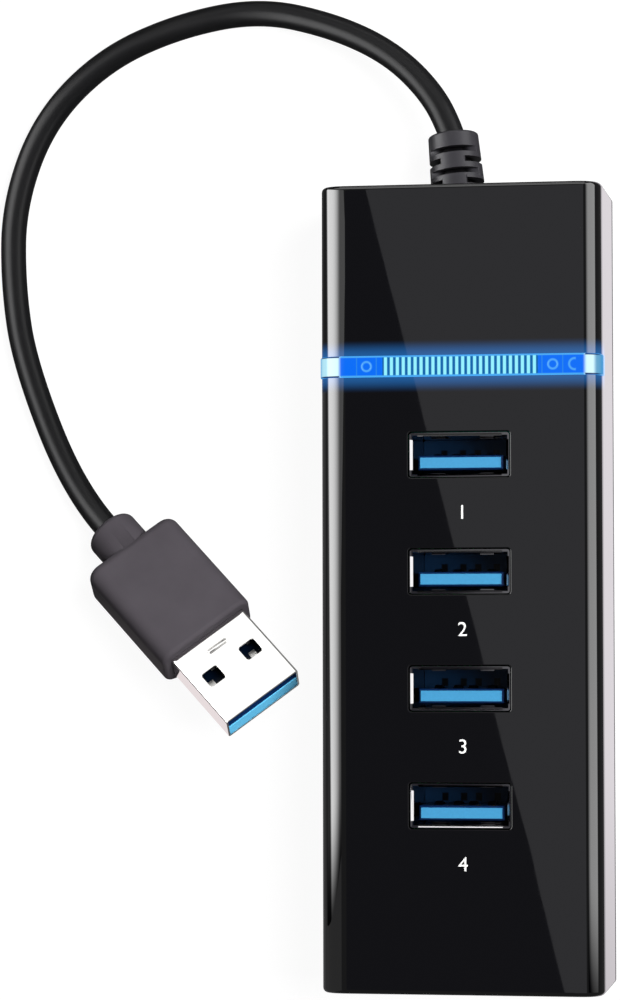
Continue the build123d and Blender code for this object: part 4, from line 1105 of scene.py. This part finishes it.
@dataclass
class Lead:
    """The free lead and the strain relief where it leaves the housing."""

    diameter: float = 3.5
    length: float = 0.1313
    route: tuple[Triple, ...] = (
        (-2.03, 59.2, 8.82),
        (-2.18, 60.66, 8.66),
        (-5.0, 66.55, 7.86),
        (-10.8, 72.45, 6.46),
        (-19.2, 76.85, 4.06),
        (-29.8, 79.75, 1.75),
        (-41.2, 77.85, 1.75),
        (-51.8, 73.35, 1.75),
        (-60.2, 65.0, 1.75),
        (-64.4, 53.6, 1.75),
        (-64.5, 42.4, 1.75),
        (-62.8, 31.25, 1.75),
        (-55.7, 13.55, 1.75),
        (-50.4, 8.3, 3.75),
    )
    lean: float = 6.0
    droop: float = 6.0
    sleeve_length: float = 8.0
    base_radius: float = 3.65
    tip_radius: float = 3.35
    tip_round: float = 0.3
    core_radius: float = 2.05
    neck_radius: float = 2.8
    flange_radius: float = 4.3
    flange_thickness: float = 1.5
    wall: float = 2.0
    slots: tuple[float, ...] = (5.45, 4.0, 2.45, 1.0)
    slot_width: float = 0.8
    bridge: float = 3.2
    root: float = 0.4
    clearance: float = 0.03
    softness: float = 0.07

    def make_cord(self, finishes: Finishes) -> Object:
        """The lead as one smooth spline through its route.

        Args:
            finishes: The hub's finishes.

        Returns:
            The lead, as a curve.
        """
        data = bpy.data.curves.new("lead", "CURVE")
        data.dimensions = "3D"
        spline = data.splines.new("NURBS")
        spline.points.add(len(self.route) - 1)
        for point, place in zip(spline.points, self.route):
            point.co = (*(Vector(place) * MM), 1.0)
        spline.order_u = 3
        spline.use_endpoint_u = True
        spline.resolution_u = 16
        data.bevel_depth = self.diameter / 2 * MM
        data.bevel_resolution = 8
        data.use_fill_caps = True
        cord = bpy.data.objects.new("lead", data)
        bpy.context.scene.collection.objects.link(cord)
        data.materials.append(finishes.cord)
        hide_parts("cord")
        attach(cord, "root")
        LOG.info("lead: %d points", len(self.route))
        return cord

    def make_relief(self, finishes: Finishes) -> Object:
        """The slotted sleeve on its leaning axis, with its neck and flange in the end wall.

        Args:
            finishes: The hub's finishes.

        Returns:
            The strain relief.
        """
        start, end = on_axis(-self.root), on_axis(self.sleeve_length)
        sleeve = rod("strain_relief_sleeve", start, end, self.base_radius, self.tip_radius, 72)
        round_edges(sleeve, lambda edge: flat_on(edge, 1, self.sleeve_length), self.tip_round, 4)
        for index, middle in enumerate(self.slots):
            low, high = middle - self.slot_width / 2, middle + self.slot_width / 2
            ring = rod("ring", on_axis(low), on_axis(high), 2 * self.base_radius)
            core = rod("core", on_axis(low - 1), on_axis(high + 1), self.core_radius)
            half = (self.bridge / 2, 3 * self.base_radius)
            wide, tall = (half[1], half[0]) if index % 2 == 0 else half
            bridge = block("bridge", (-wide, low - 1, -tall), (wide, high + 1, tall))
            combine(ring, [core, bridge], Join.CUT)
            combine(sleeve, [ring], Join.CUT)
        turn = Matrix.Rotation(radians(self.lean), 4, "Z") @ Matrix.Rotation(radians(-self.droop), 4, "X")
        sleeve.data.transform(turn)
        combine(sleeve, [block("wall side", (-9, -3, -9), (9, 0, 9))], Join.CUT)
        neck = rod("neck", on_axis(0.3), on_axis(-self.wall - 0.1), self.neck_radius)
        back = on_axis(-self.wall - self.flange_thickness)
        flange = rod("flange", on_axis(-self.wall), back, self.flange_radius)
        combine(sleeve, [neck, flange], Join.ADD)
        bore_radius = self.diameter / 2 + self.clearance
        bore = rod("bore", on_axis(-6), on_axis(0.2), bore_radius)
        outer = rod("outer bore", on_axis(-0.2), on_axis(self.sleeve_length + 2), bore_radius)
        outer.data.transform(turn)
        combine(sleeve, [bore, outer], Join.CUT)
        soften(sleeve, self.softness)
        place = Matrix.Translation(Vector(GLAND) * MM)
        return settle(sleeve, finishes.relief, ["strain_relief"], place)


# Housing


@dataclass
class Housing:
    """Glossy top cover, with the numerals below its sockets."""

    half_length: float = 52.75
    parting: float = 2.6
    end_radius: float = 0.6
    side_wall: float = 1.8
    end_wall: float = 2.0
    top_wall: float = 2.0
    room_radius: float = 1.0
    window: Pair = (13.4, 6.02)
    window_radius: float = 0.42
    window_edge: float = 0.12
    screws: Pair = (13.4, 47.35)
    posts: Pair = (12.2, 38.0)
    # Radius and foot of the pillars, then radius, foot and top of the screw holes.
    boss: Pair = (2.5, 4.4)
    post: Pair = (2.0, 6.6)
    hole: Triple = (1.2, 0.0, 12.5)
    groove_depth: float = 1.25
    groove_low: float = 16.95
    blade: Pair = (29.1, 1.3)
    notch_radius: float = 2.9
    numeral_height: float = 1.85
    numeral_share: float = 0.7
    numeral_drop: float = 7.6
    numeral_x: float = 0.4
    ink_thickness: float = 0.02

    def four(self, name: str, at: Pair, radius: float, low: float, high: float) -> list[Object]:
        """Four upright rods, at plus and minus x and y."""
        places = [(x, y) for x in (-at[0], at[0]) for y in (-at[1], at[1])]
        return [rod(name, (x, y, low), (x, y, high), radius, sides=32) for x, y in places]

    def make_cover(self, finishes: Finishes) -> Object:
        """The shell with its rounded edges, sockets' windows, light groove, bosses and lead notch.

        Args:
            finishes: The hub's finishes.

        Returns:
            The cover.
        """
        width, length = HALF_WIDTH, self.half_length
        cover = block("top_cover_shell", *about(0, 0, width, length, self.parting, HEIGHT))
        round_edges(cover, long_top(HEIGHT), LONG_REACH, 16, PROFILE)
        round_edges(cover, self.on_end, self.end_radius, 5)
        ceiling = HEIGHT - self.top_wall
        room = block("room", *about(0, 0, width - self.side_wall, length - self.end_wall, 0, ceiling))
        round_edges(room, long_top(ceiling), self.room_radius, 4)
        combine(cover, [room], Join.CUT)
        bosses = self.four("boss", self.screws, *self.boss, ceiling + 0.5)
        bosses += self.four("post", self.posts, *self.post, ceiling + 0.5)
        combine(cover, [gather(bosses)], Join.ADD)
        combine(cover, [gather(self.four("hole", self.screws, *self.hole))], Join.CUT)
        half_x, half_y = self.window[0] / 2, self.window[1] / 2
        spans = [about(0, y, half_x, half_y, ceiling - 1, HEIGHT + 1) for y in PORTS]
        windows = [rounded_bar("window", *span, 2, self.window_radius) for span in spans]
        combine(cover, [gather(windows)], Join.CUT)
        depth = self.groove_depth
        groove = block("groove", *about(0, LIGHT_Y, width + 1, GROOVE_HALF, self.groove_low, HEIGHT + 1))
        step = block("step", *about(0, LIGHT_Y, width - depth, GROOVE_HALF + 1, 0, HEIGHT - depth))
        round_edges(step, long_top(HEIGHT - depth), LONG_REACH - depth, 12, PROFILE)
        combine(groove, [step], Join.CUT)
        half_x, half_y = self.blade[0] / 2, self.blade[1] / 2
        slot = block("blade slot", *about(0, LIGHT_Y, half_x, half_y, ceiling - 1, HEIGHT))
        x, y, z = GLAND
        radius, inside, outside = self.notch_radius, y - self.end_wall - 1, y + 1
        notch = rod("notch", (x, inside, z), (x, outside, z), radius)
        below = block("below", (x - radius, inside, 0), (x + radius, outside, z))
        combine(cover, [groove, slot, notch, below], Join.CUT)
        round_edges(cover, self.on_window, self.window_edge, 2)
        return settle(cover, finishes.gloss_abs, ["top_cover"])

    def on_end(self, edge: object) -> bool:
        """Whether an edge of an end face lies above the parting line."""
        on_face = flat_on(edge, 1, self.half_length) or flat_on(edge, 1, -self.half_length)
        return on_face and not flat_on(edge, 2, self.parting)

    def on_window(self, edge: object) -> bool:
        """Whether an edge of the top face runs round a socket's window.

        Args:
            edge: The edge, in edit mode.

        Returns:
            Whether it does.
        """
        half_x, half_y = self.window[0] / 2 + NEAR, self.window[1] / 2 + NEAR
        return flat_on(edge, 2, HEIGHT) and any(
            all(abs(vert.co.x) < half_x and abs(vert.co.y - y) < half_y for vert in edge.verts)
            for y in PORTS
        )

    def make_numerals(self, finishes: Finishes) -> list[Object]:
        """A plain printed number below each socket.

        Args:
            finishes: The hub's finishes.

        Returns:
            The four numerals.
        """
        numerals = []
        for number, y in enumerate(PORTS, start=1):
            bpy.ops.object.select_all(action="DESELECT")
            bpy.ops.object.text_add()
            numeral = bpy.context.active_object
            numeral.name = f"numeral_{number}"
            text = numeral.data
            text.body = str(number)
            text.align_x, text.align_y = "CENTER", "CENTER"
            text.size = self.numeral_height / self.numeral_share
            text.extrude = self.ink_thickness / 2
            text.resolution_u = 8
            bpy.ops.object.convert(target="MESH")
            place = (self.numeral_x, y - self.numeral_drop, HEIGHT + self.ink_thickness / 2)
            numeral.data.transform(Matrix.Translation(place))
            numerals.append(settle(numeral, finishes.ink))
        return numerals


@dataclass
class LightBar:
    """Clear bar that follows the cover's rounded top, with a blade down to the lamps."""

    proud: float = 0.18
    depth: float = 1.2
    low: float = 17.0
    edge_radius: float = 0.16
    groove_width: float = 0.3
    groove_depth: float = 0.12
    groove_radius: float = 0.05
    blade: Triple = (29.0, 1.2, 9.1)
    ring_wire: float = 0.07

    def arch(self, name: str, margin: float, low: float, overhang: float) -> Object:
        """A block that follows the cover's rounded top at a margin outside it.

        Args:
            name: Name of the new object.
            margin: How far it stands outside the cover's top, or less than 0 inside it.
            low: Its foot.
            overhang: How far it reaches past the bar's sides.

        Returns:
            The block.
        """
        top = HEIGHT + margin
        piece = block(name, *about(0, LIGHT_Y, HALF_WIDTH + margin, BAR_HALF + overhang, low, top))
        round_edges(piece, long_top(top), LONG_REACH + margin, 16, PROFILE)
        return piece

    def on_side(self, edge: object) -> bool:
        """Whether an edge of a long side face lies above the bar's feet."""
        on_face = flat_on(edge, 1, LIGHT_Y - BAR_HALF) or flat_on(edge, 1, LIGHT_Y + BAR_HALF)
        return on_face and not flat_on(edge, 2, self.low)

    def make(self, finishes: Finishes) -> Object:
        """The ribbed bar with its lamp rings.

        Args:
            finishes: The hub's finishes.

        Returns:
            The light bar.
        """
        bar = self.arch("light_bar_lens", self.proud, self.low, 0.0)
        round_edges(bar, self.on_side, self.edge_radius, 3)
        combine(bar, [self.arch("inside", -self.depth, 0.0, 1.0)], Join.CUT)
        width, thickness, low = self.blade
        blade = block("blade", *about(0, LIGHT_Y, width / 2, thickness / 2, low, HEIGHT - self.depth / 2))
        combine(bar, [blade], Join.ADD)
        top = HEIGHT + self.proud
        foot = top - self.groove_depth
        half_x, half_y = self.groove_width / 2, BAR_HALF - self.groove_width
        first = block("groove", *about(0, LIGHT_Y, half_x, half_y, foot, top + 0.3))
        round_edges(first, lambda edge: flat_on(edge, 2, foot), self.groove_radius, 2)
        moves = [(RIB_START + rib * RIB_PITCH, 0, 0) for rib in range(RIB_COUNT + 1)]
        grooves = [copy_of(first, "groove", move) for move in moves]
        bpy.data.objects.remove(first, do_unlink=True)
        combine(bar, [gather(grooves)], Join.CUT)
        for x in RINGS:
            ring = form(
                "ring",
                bpy.ops.mesh.primitive_torus_add,
                location=(x, LIGHT_Y, top),
                major_radius=RING_RADIUS,
                minor_radius=self.ring_wire,
                major_segments=32,
                minor_segments=8,
            )
            combine(bar, [ring], Join.ADD)
        return settle(bar, finishes.acrylic, ["light_bar"])


# Sockets


@dataclass
class Sockets:
    """Four upright sockets: a folded shell with lead-in lips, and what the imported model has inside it."""

    half_x: float = 6.55
    half_y: float = 2.86
    wall: float = 0.3
    corner: float = 0.36
    low: float = 6.6
    high: float = 20.8
    lip_depth: float = 0.34
    lip_rim: float = 0.08
    lip_reach: Pair = (5.5, 1.95)
    tab_x: float = 3.2
    tab_half: float = 0.9
    tab_z: Pair = (12.2, 17.2)
    tab_gap: float = 0.3
    tab_set: float = 0.3
    corner_gap: float = 0.02
    corner_depth: float = 0.5
    # A board leg: its thickness, width and foot.
    leg: Triple = (0.3, 2.0, 4.2)

    def make_shell(self) -> Object:
        """The shell of one socket, about the upright axis through its middle.

        Returns:
            The shell.
        """
        x, y, wall, high = self.half_x, self.half_y, self.wall, self.high
        shell = rounded_bar("shell", *about(0, 0, x, y, self.low, high), 2, self.corner)
        room = about(0, 0, x - wall, y - wall, self.low - 1, high + 1)
        combine(shell, [rounded_bar("cavity", *room, 2, self.corner - wall)], Join.CUT)
        long_x, long_y = self.lip_reach
        inner = self.lip_rim + self.lip_depth
        foot = high - 2 * self.lip_depth
        for side in (-1, 1):
            across = side * (x - wall / 2), side * (x - inner)
            along = side * (y - wall / 2), side * (y - inner)
            lips = [
                block("lip", (across[0], -long_y, foot), (across[1], long_y, high)),
                block("lip", (-long_x, along[0], foot), (long_x, along[1], high)),
            ]
            combine(shell, lips, Join.ADD)
        funnel = block("funnel", *about(0, 0, x, y, high - self.lip_depth, high + 1))
        self.taper(funnel)
        combine(shell, [funnel], Join.CUT)
        near_x, near_y = long_x + self.corner_gap, long_y + self.corner_gap
        far_x, far_y = x - self.lip_rim, y - self.lip_rim
        low = high - self.corner_depth
        reliefs = [
            block("relief", (a * near_x, b * near_y, low), (a * far_x, b * far_y, high + 1))
            for a in (-1, 1)
            for b in (-1, 1)
        ]
        combine(shell, [gather(reliefs)], Join.CUT)
        self.add_tabs(shell)
        return shell

    def taper(self, funnel: Object) -> None:
        """Draws a block's foot in by the lip's depth, so that its sides slope at 45 degrees.

        Args:
            funnel: The block that cuts the lead-in.
        """
        for vert in funnel.data.vertices:
            inset = self.lip_rim + self.lip_depth if vert.co.z < self.high else self.lip_rim - 1
            vert.co.x = (self.half_x - inset) * (1 if vert.co.x > 0 else -1)
            vert.co.y = (self.half_y - inset) * (1 if vert.co.y > 0 else -1)

    def add_tabs(self, shell: Object) -> None:
        """Presses the four spring tabs inwards and adds the two board legs.

        Args:
            shell: The shell to add them to.
        """
        low, high = self.tab_z
        outer, inner, half = self.half_y, self.half_y - self.wall, self.tab_half
        windows, tabs = [], []
        for side in (-1, 1):
            for x in (-self.tab_x, self.tab_x):
                left, right = x - half - self.tab_gap, x + half + self.tab_gap
                near, far = side * (inner - 0.1), side * (outer + 0.1)
                windows.append(block("window", (left, near, low), (right, far, high + self.tab_gap)))
                tab = block("tab", (x - half, side * inner, low - 0.2), (x + half, side * outer, high))
                for vert in tab.data.vertices:
                    if vert.co.z > low:
                        vert.co.y -= side * self.tab_set
                tabs.append(tab)
        combine(shell, [gather(windows)], Join.CUT)
        combine(shell, tabs, Join.ADD)
        thick, wide, foot = self.leg
        for side in (-1, 1):
            near, far = side * (self.half_x - thick), side * self.half_x
            leg = block("leg", (near, -wide / 2, foot), (far, wide / 2, self.low + 1))
            combine(shell, [leg], Join.ADD)

    def make(self, finishes: Finishes) -> list[Object]:
        """One shell for each socket, and the finishes of what is inside.

        Args:
            finishes: The hub's finishes.

        Returns:
            The four shells.
        """
        first = self.make_shell()
        shells = []
        for number, y in enumerate(PORTS, start=1):
            shell = copy_of(first, f"socket_shell_{number}", (0, y, 0))
            # The shells take the nickel painted grey as shade for the dark well.
            shells.append(settle(shell, finishes.satin, [f"socket_{number}_shell"]))
            dress(finishes.tongue, f"socket_{number}_insulator")
            dress(finishes.gold, f"socket_{number}_front_contacts")
            # The sprung contacts and tails take the tin painted dark as shade.
            dress(finishes.tin, f"socket_{number}_spring_contacts", f"socket_{number}_contact_tails")
        bpy.data.objects.remove(first, do_unlink=True)
        return shells


# Plug


@dataclass
class Plug:
    """Type A plug, built along its own Y axis from the rear of its neck."""

    length: float = 34.3
    neck_radius: float = 3.6
    neck_length: float = 4.8
    neck_round: float = 0.9
    # Half width, half height and front end of the grip.
    boot: Triple = (7.3, 3.9, 22.3)
    edge_radius: float = 2.1
    rear_radius: float = 1.4
    front_radius: float = 0.6
    # Half width, half height and rear end of the shell.
    shell: Triple = (6.0, 2.25, 16.3)
    wall: float = 0.3
    corner: float = 0.36
    # Latch windows: distance from the middle, width and length.
    window: Triple = (3.1, 2.5, 2.3)
    window_inset: float = 6.5
    # Pressed slot: length, width and depth.
    slot: Triple = (3.2, 0.7, 0.15)
    slot_inset: float = 9.7
    slot_rim: float = 0.16
    bore_radius: float = 1.78
    bore_depth: float = 12.7
    pocket_gap: float = 0.03
    window_radius: float = 0.35
    slot_ease: float = 0.01
    softness: float = 0.05

    def place(self) -> Matrix:
        """The plug's own frame, from its mount and its contacts' hinge in the record.

        Returns:
            The plug's place and turn, in metres.
        """
        tip, forward = plug_axis()
        hinge = next(item for item in frame["joints"] if item["name"] == "plug_contact_bend")
        across = -Vector(hinge["axis"]).normalized()
        up = across.cross(forward).normalized()
        across = forward.cross(up)
        turn = Matrix((across, forward, up)).transposed().to_4x4()
        rear = (tip - forward * self.length) * MM
        return Matrix.Translation(rear) @ turn

    def bar(self, name: str, half: Pair, ends: Pair, radius: float, segments: int = 6) -> Object:
        """A bar along the plug, with its long edges rounded."""
        (half_x, half_z), (rear, front) = half, ends
        return rounded_bar(name, (-half_x, rear, -half_z), (half_x, front, half_z), 1, radius, segments)

    def make_grip(self, finishes: Finishes) -> Object:
        """The moulded grip and its neck, bored for the lead and pocketed for the shell.

        Args:
            finishes: The hub's finishes.

        Returns:
            The grip.
        """
        half_x, half_z, front = self.boot
        rear = self.neck_length
        grip = self.bar("plug_grip", (half_x, half_z), (rear, front), self.edge_radius, 10)
        round_edges(grip, lambda edge: flat_on(edge, 1, rear), self.rear_radius, 8)
        round_edges(grip, lambda edge: flat_on(edge, 1, front), self.front_radius, 4)
        neck = rod("neck", (0, 0, 0), (0, rear + 2, 0), self.neck_radius)
        round_edges(neck, lambda edge: flat_on(edge, 1, 0), self.neck_round, 6)
        combine(grip, [neck], Join.ADD)
        x, z, shell_rear = self.shell
        gap = self.pocket_gap
        pocket = self.bar("pocket", (x + gap, z + gap), (shell_rear, front + 1), self.corner)
        bore = rod("bore", (0, -1, 0), (0, self.bore_depth, 0), self.bore_radius)
        combine(grip, [pocket, bore], Join.CUT)
        return settle(grip, finishes.grip, ["plug_boot"], self.place(), angle=50)

    def make_shell(self, finishes: Finishes) -> Object:
        """The folded shell with its latch windows and pressed slot.

        Args:
            finishes: The hub's finishes.

        Returns:
            The shell.
        """
        x, z, rear = self.shell
        wall, front = self.wall, self.length
        shell = self.bar("plug_shell_tube", (x, z), (rear, front), self.corner)
        inside = self.bar("inside", (x - wall, z - wall), (rear - 1, front + 1), self.corner - wall)
        combine(shell, [inside], Join.CUT)
        window_x, width, length = self.window
        middle = front - self.window_inset
        for side in (-1, 1):
            span = about(side * window_x, middle, width / 2, length / 2, -z - 1, z + 1)
            combine(shell, [rounded_bar("latch window", *span, 2, self.window_radius, 4)], Join.CUT)
        half_x, half_y, depth = self.slot[0] / 2, self.slot[1] / 2, self.slot[2]
        middle, rim = front - self.slot_inset, self.slot_rim
        outer = about(0, middle, half_x, half_y, z - depth, z + 1)
        inner = about(0, middle, half_x - rim, half_y - rim, z - 1, z + 2)
        press = rounded_bar("press", *outer, 2, half_y - self.slot_ease)
        combine(press, [rounded_bar("island", *inner, 2, half_y - rim - self.slot_ease)], Join.CUT)
        combine(shell, [press], Join.CUT)
        soften(shell, self.softness, angle=60)
        return settle(shell, finishes.nickel, ["plug_shell"], self.place())

    def make(self, finishes: Finishes) -> list[Object]:
        """The grip, the shell and the finishes of what they hold.

        Args:
            finishes: The hub's finishes.

        Returns:
            The grip and the shell.
        """
        dress(finishes.core, "plug_insulator")
        dress(finishes.silver, "plug_flat_contacts", "plug_spring_contacts")
        dress(finishes.gold, "plug_contact_tails")
        dress(finishes.cord, "plug_lead")
        dress(finishes.wire, "plug_wire_leads")
        return [self.make_grip(finishes), self.make_shell(finishes)]


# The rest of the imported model


def dress_inside(finishes: Finishes) -> None:
    """Gives the base, the feet, the screws and the electronics their finishes.

    Args:
        finishes: The hub's finishes.
    """
    dress(finishes.matt_abs, "base_cover")
    dress(finishes.rubber, "rubber_feet")
    dress(finishes.zinc, "case_screws")
    dress(finishes.board, "circuit_board")
    dress(finishes.epoxy, "hub_controller", "voltage_regulator")
    dress(finishes.can, "crystal")
    dress(finishes.aluminium, "bulk_capacitor")
    dress(finishes.lamp, "status_lamps")
    dress(finishes.fuse, "port_fuses")
    dress(finishes.tan, "ceramic_capacitors")
    dress(finishes.alumina, "chip_resistors")
    dress(finishes.cord, "inner_lead")
    dress(finishes.wire, "wire_leads")


def main() -> None:
    """Builds the scene: camera and lead first, then the housing, its sockets and the plug."""
    logging.basicConfig(level=logging.INFO, format="%(name)s %(message)s")
    Studio().build()
    finishes = Finishes()
    lead = Lead()
    cord = lead.make_cord(finishes)
    plug = Plug()
    on_lead = [lead.make_relief(finishes), *plug.make(finishes)]
    on_lead += [frame["nodes"][name] for name in sorted(frame["nodes"]) if name.startswith("plug_")]
    on_lead = [piece for piece in on_lead if piece.name not in ("plug_boot", "plug_shell")]
    housing = Housing()
    housing.make_cover(finishes)
    housing.make_numerals(finishes)
    LightBar().make(finishes)
    Sockets().make(finishes)
    dress_inside(finishes)


if __name__ == "__main__":
    main()
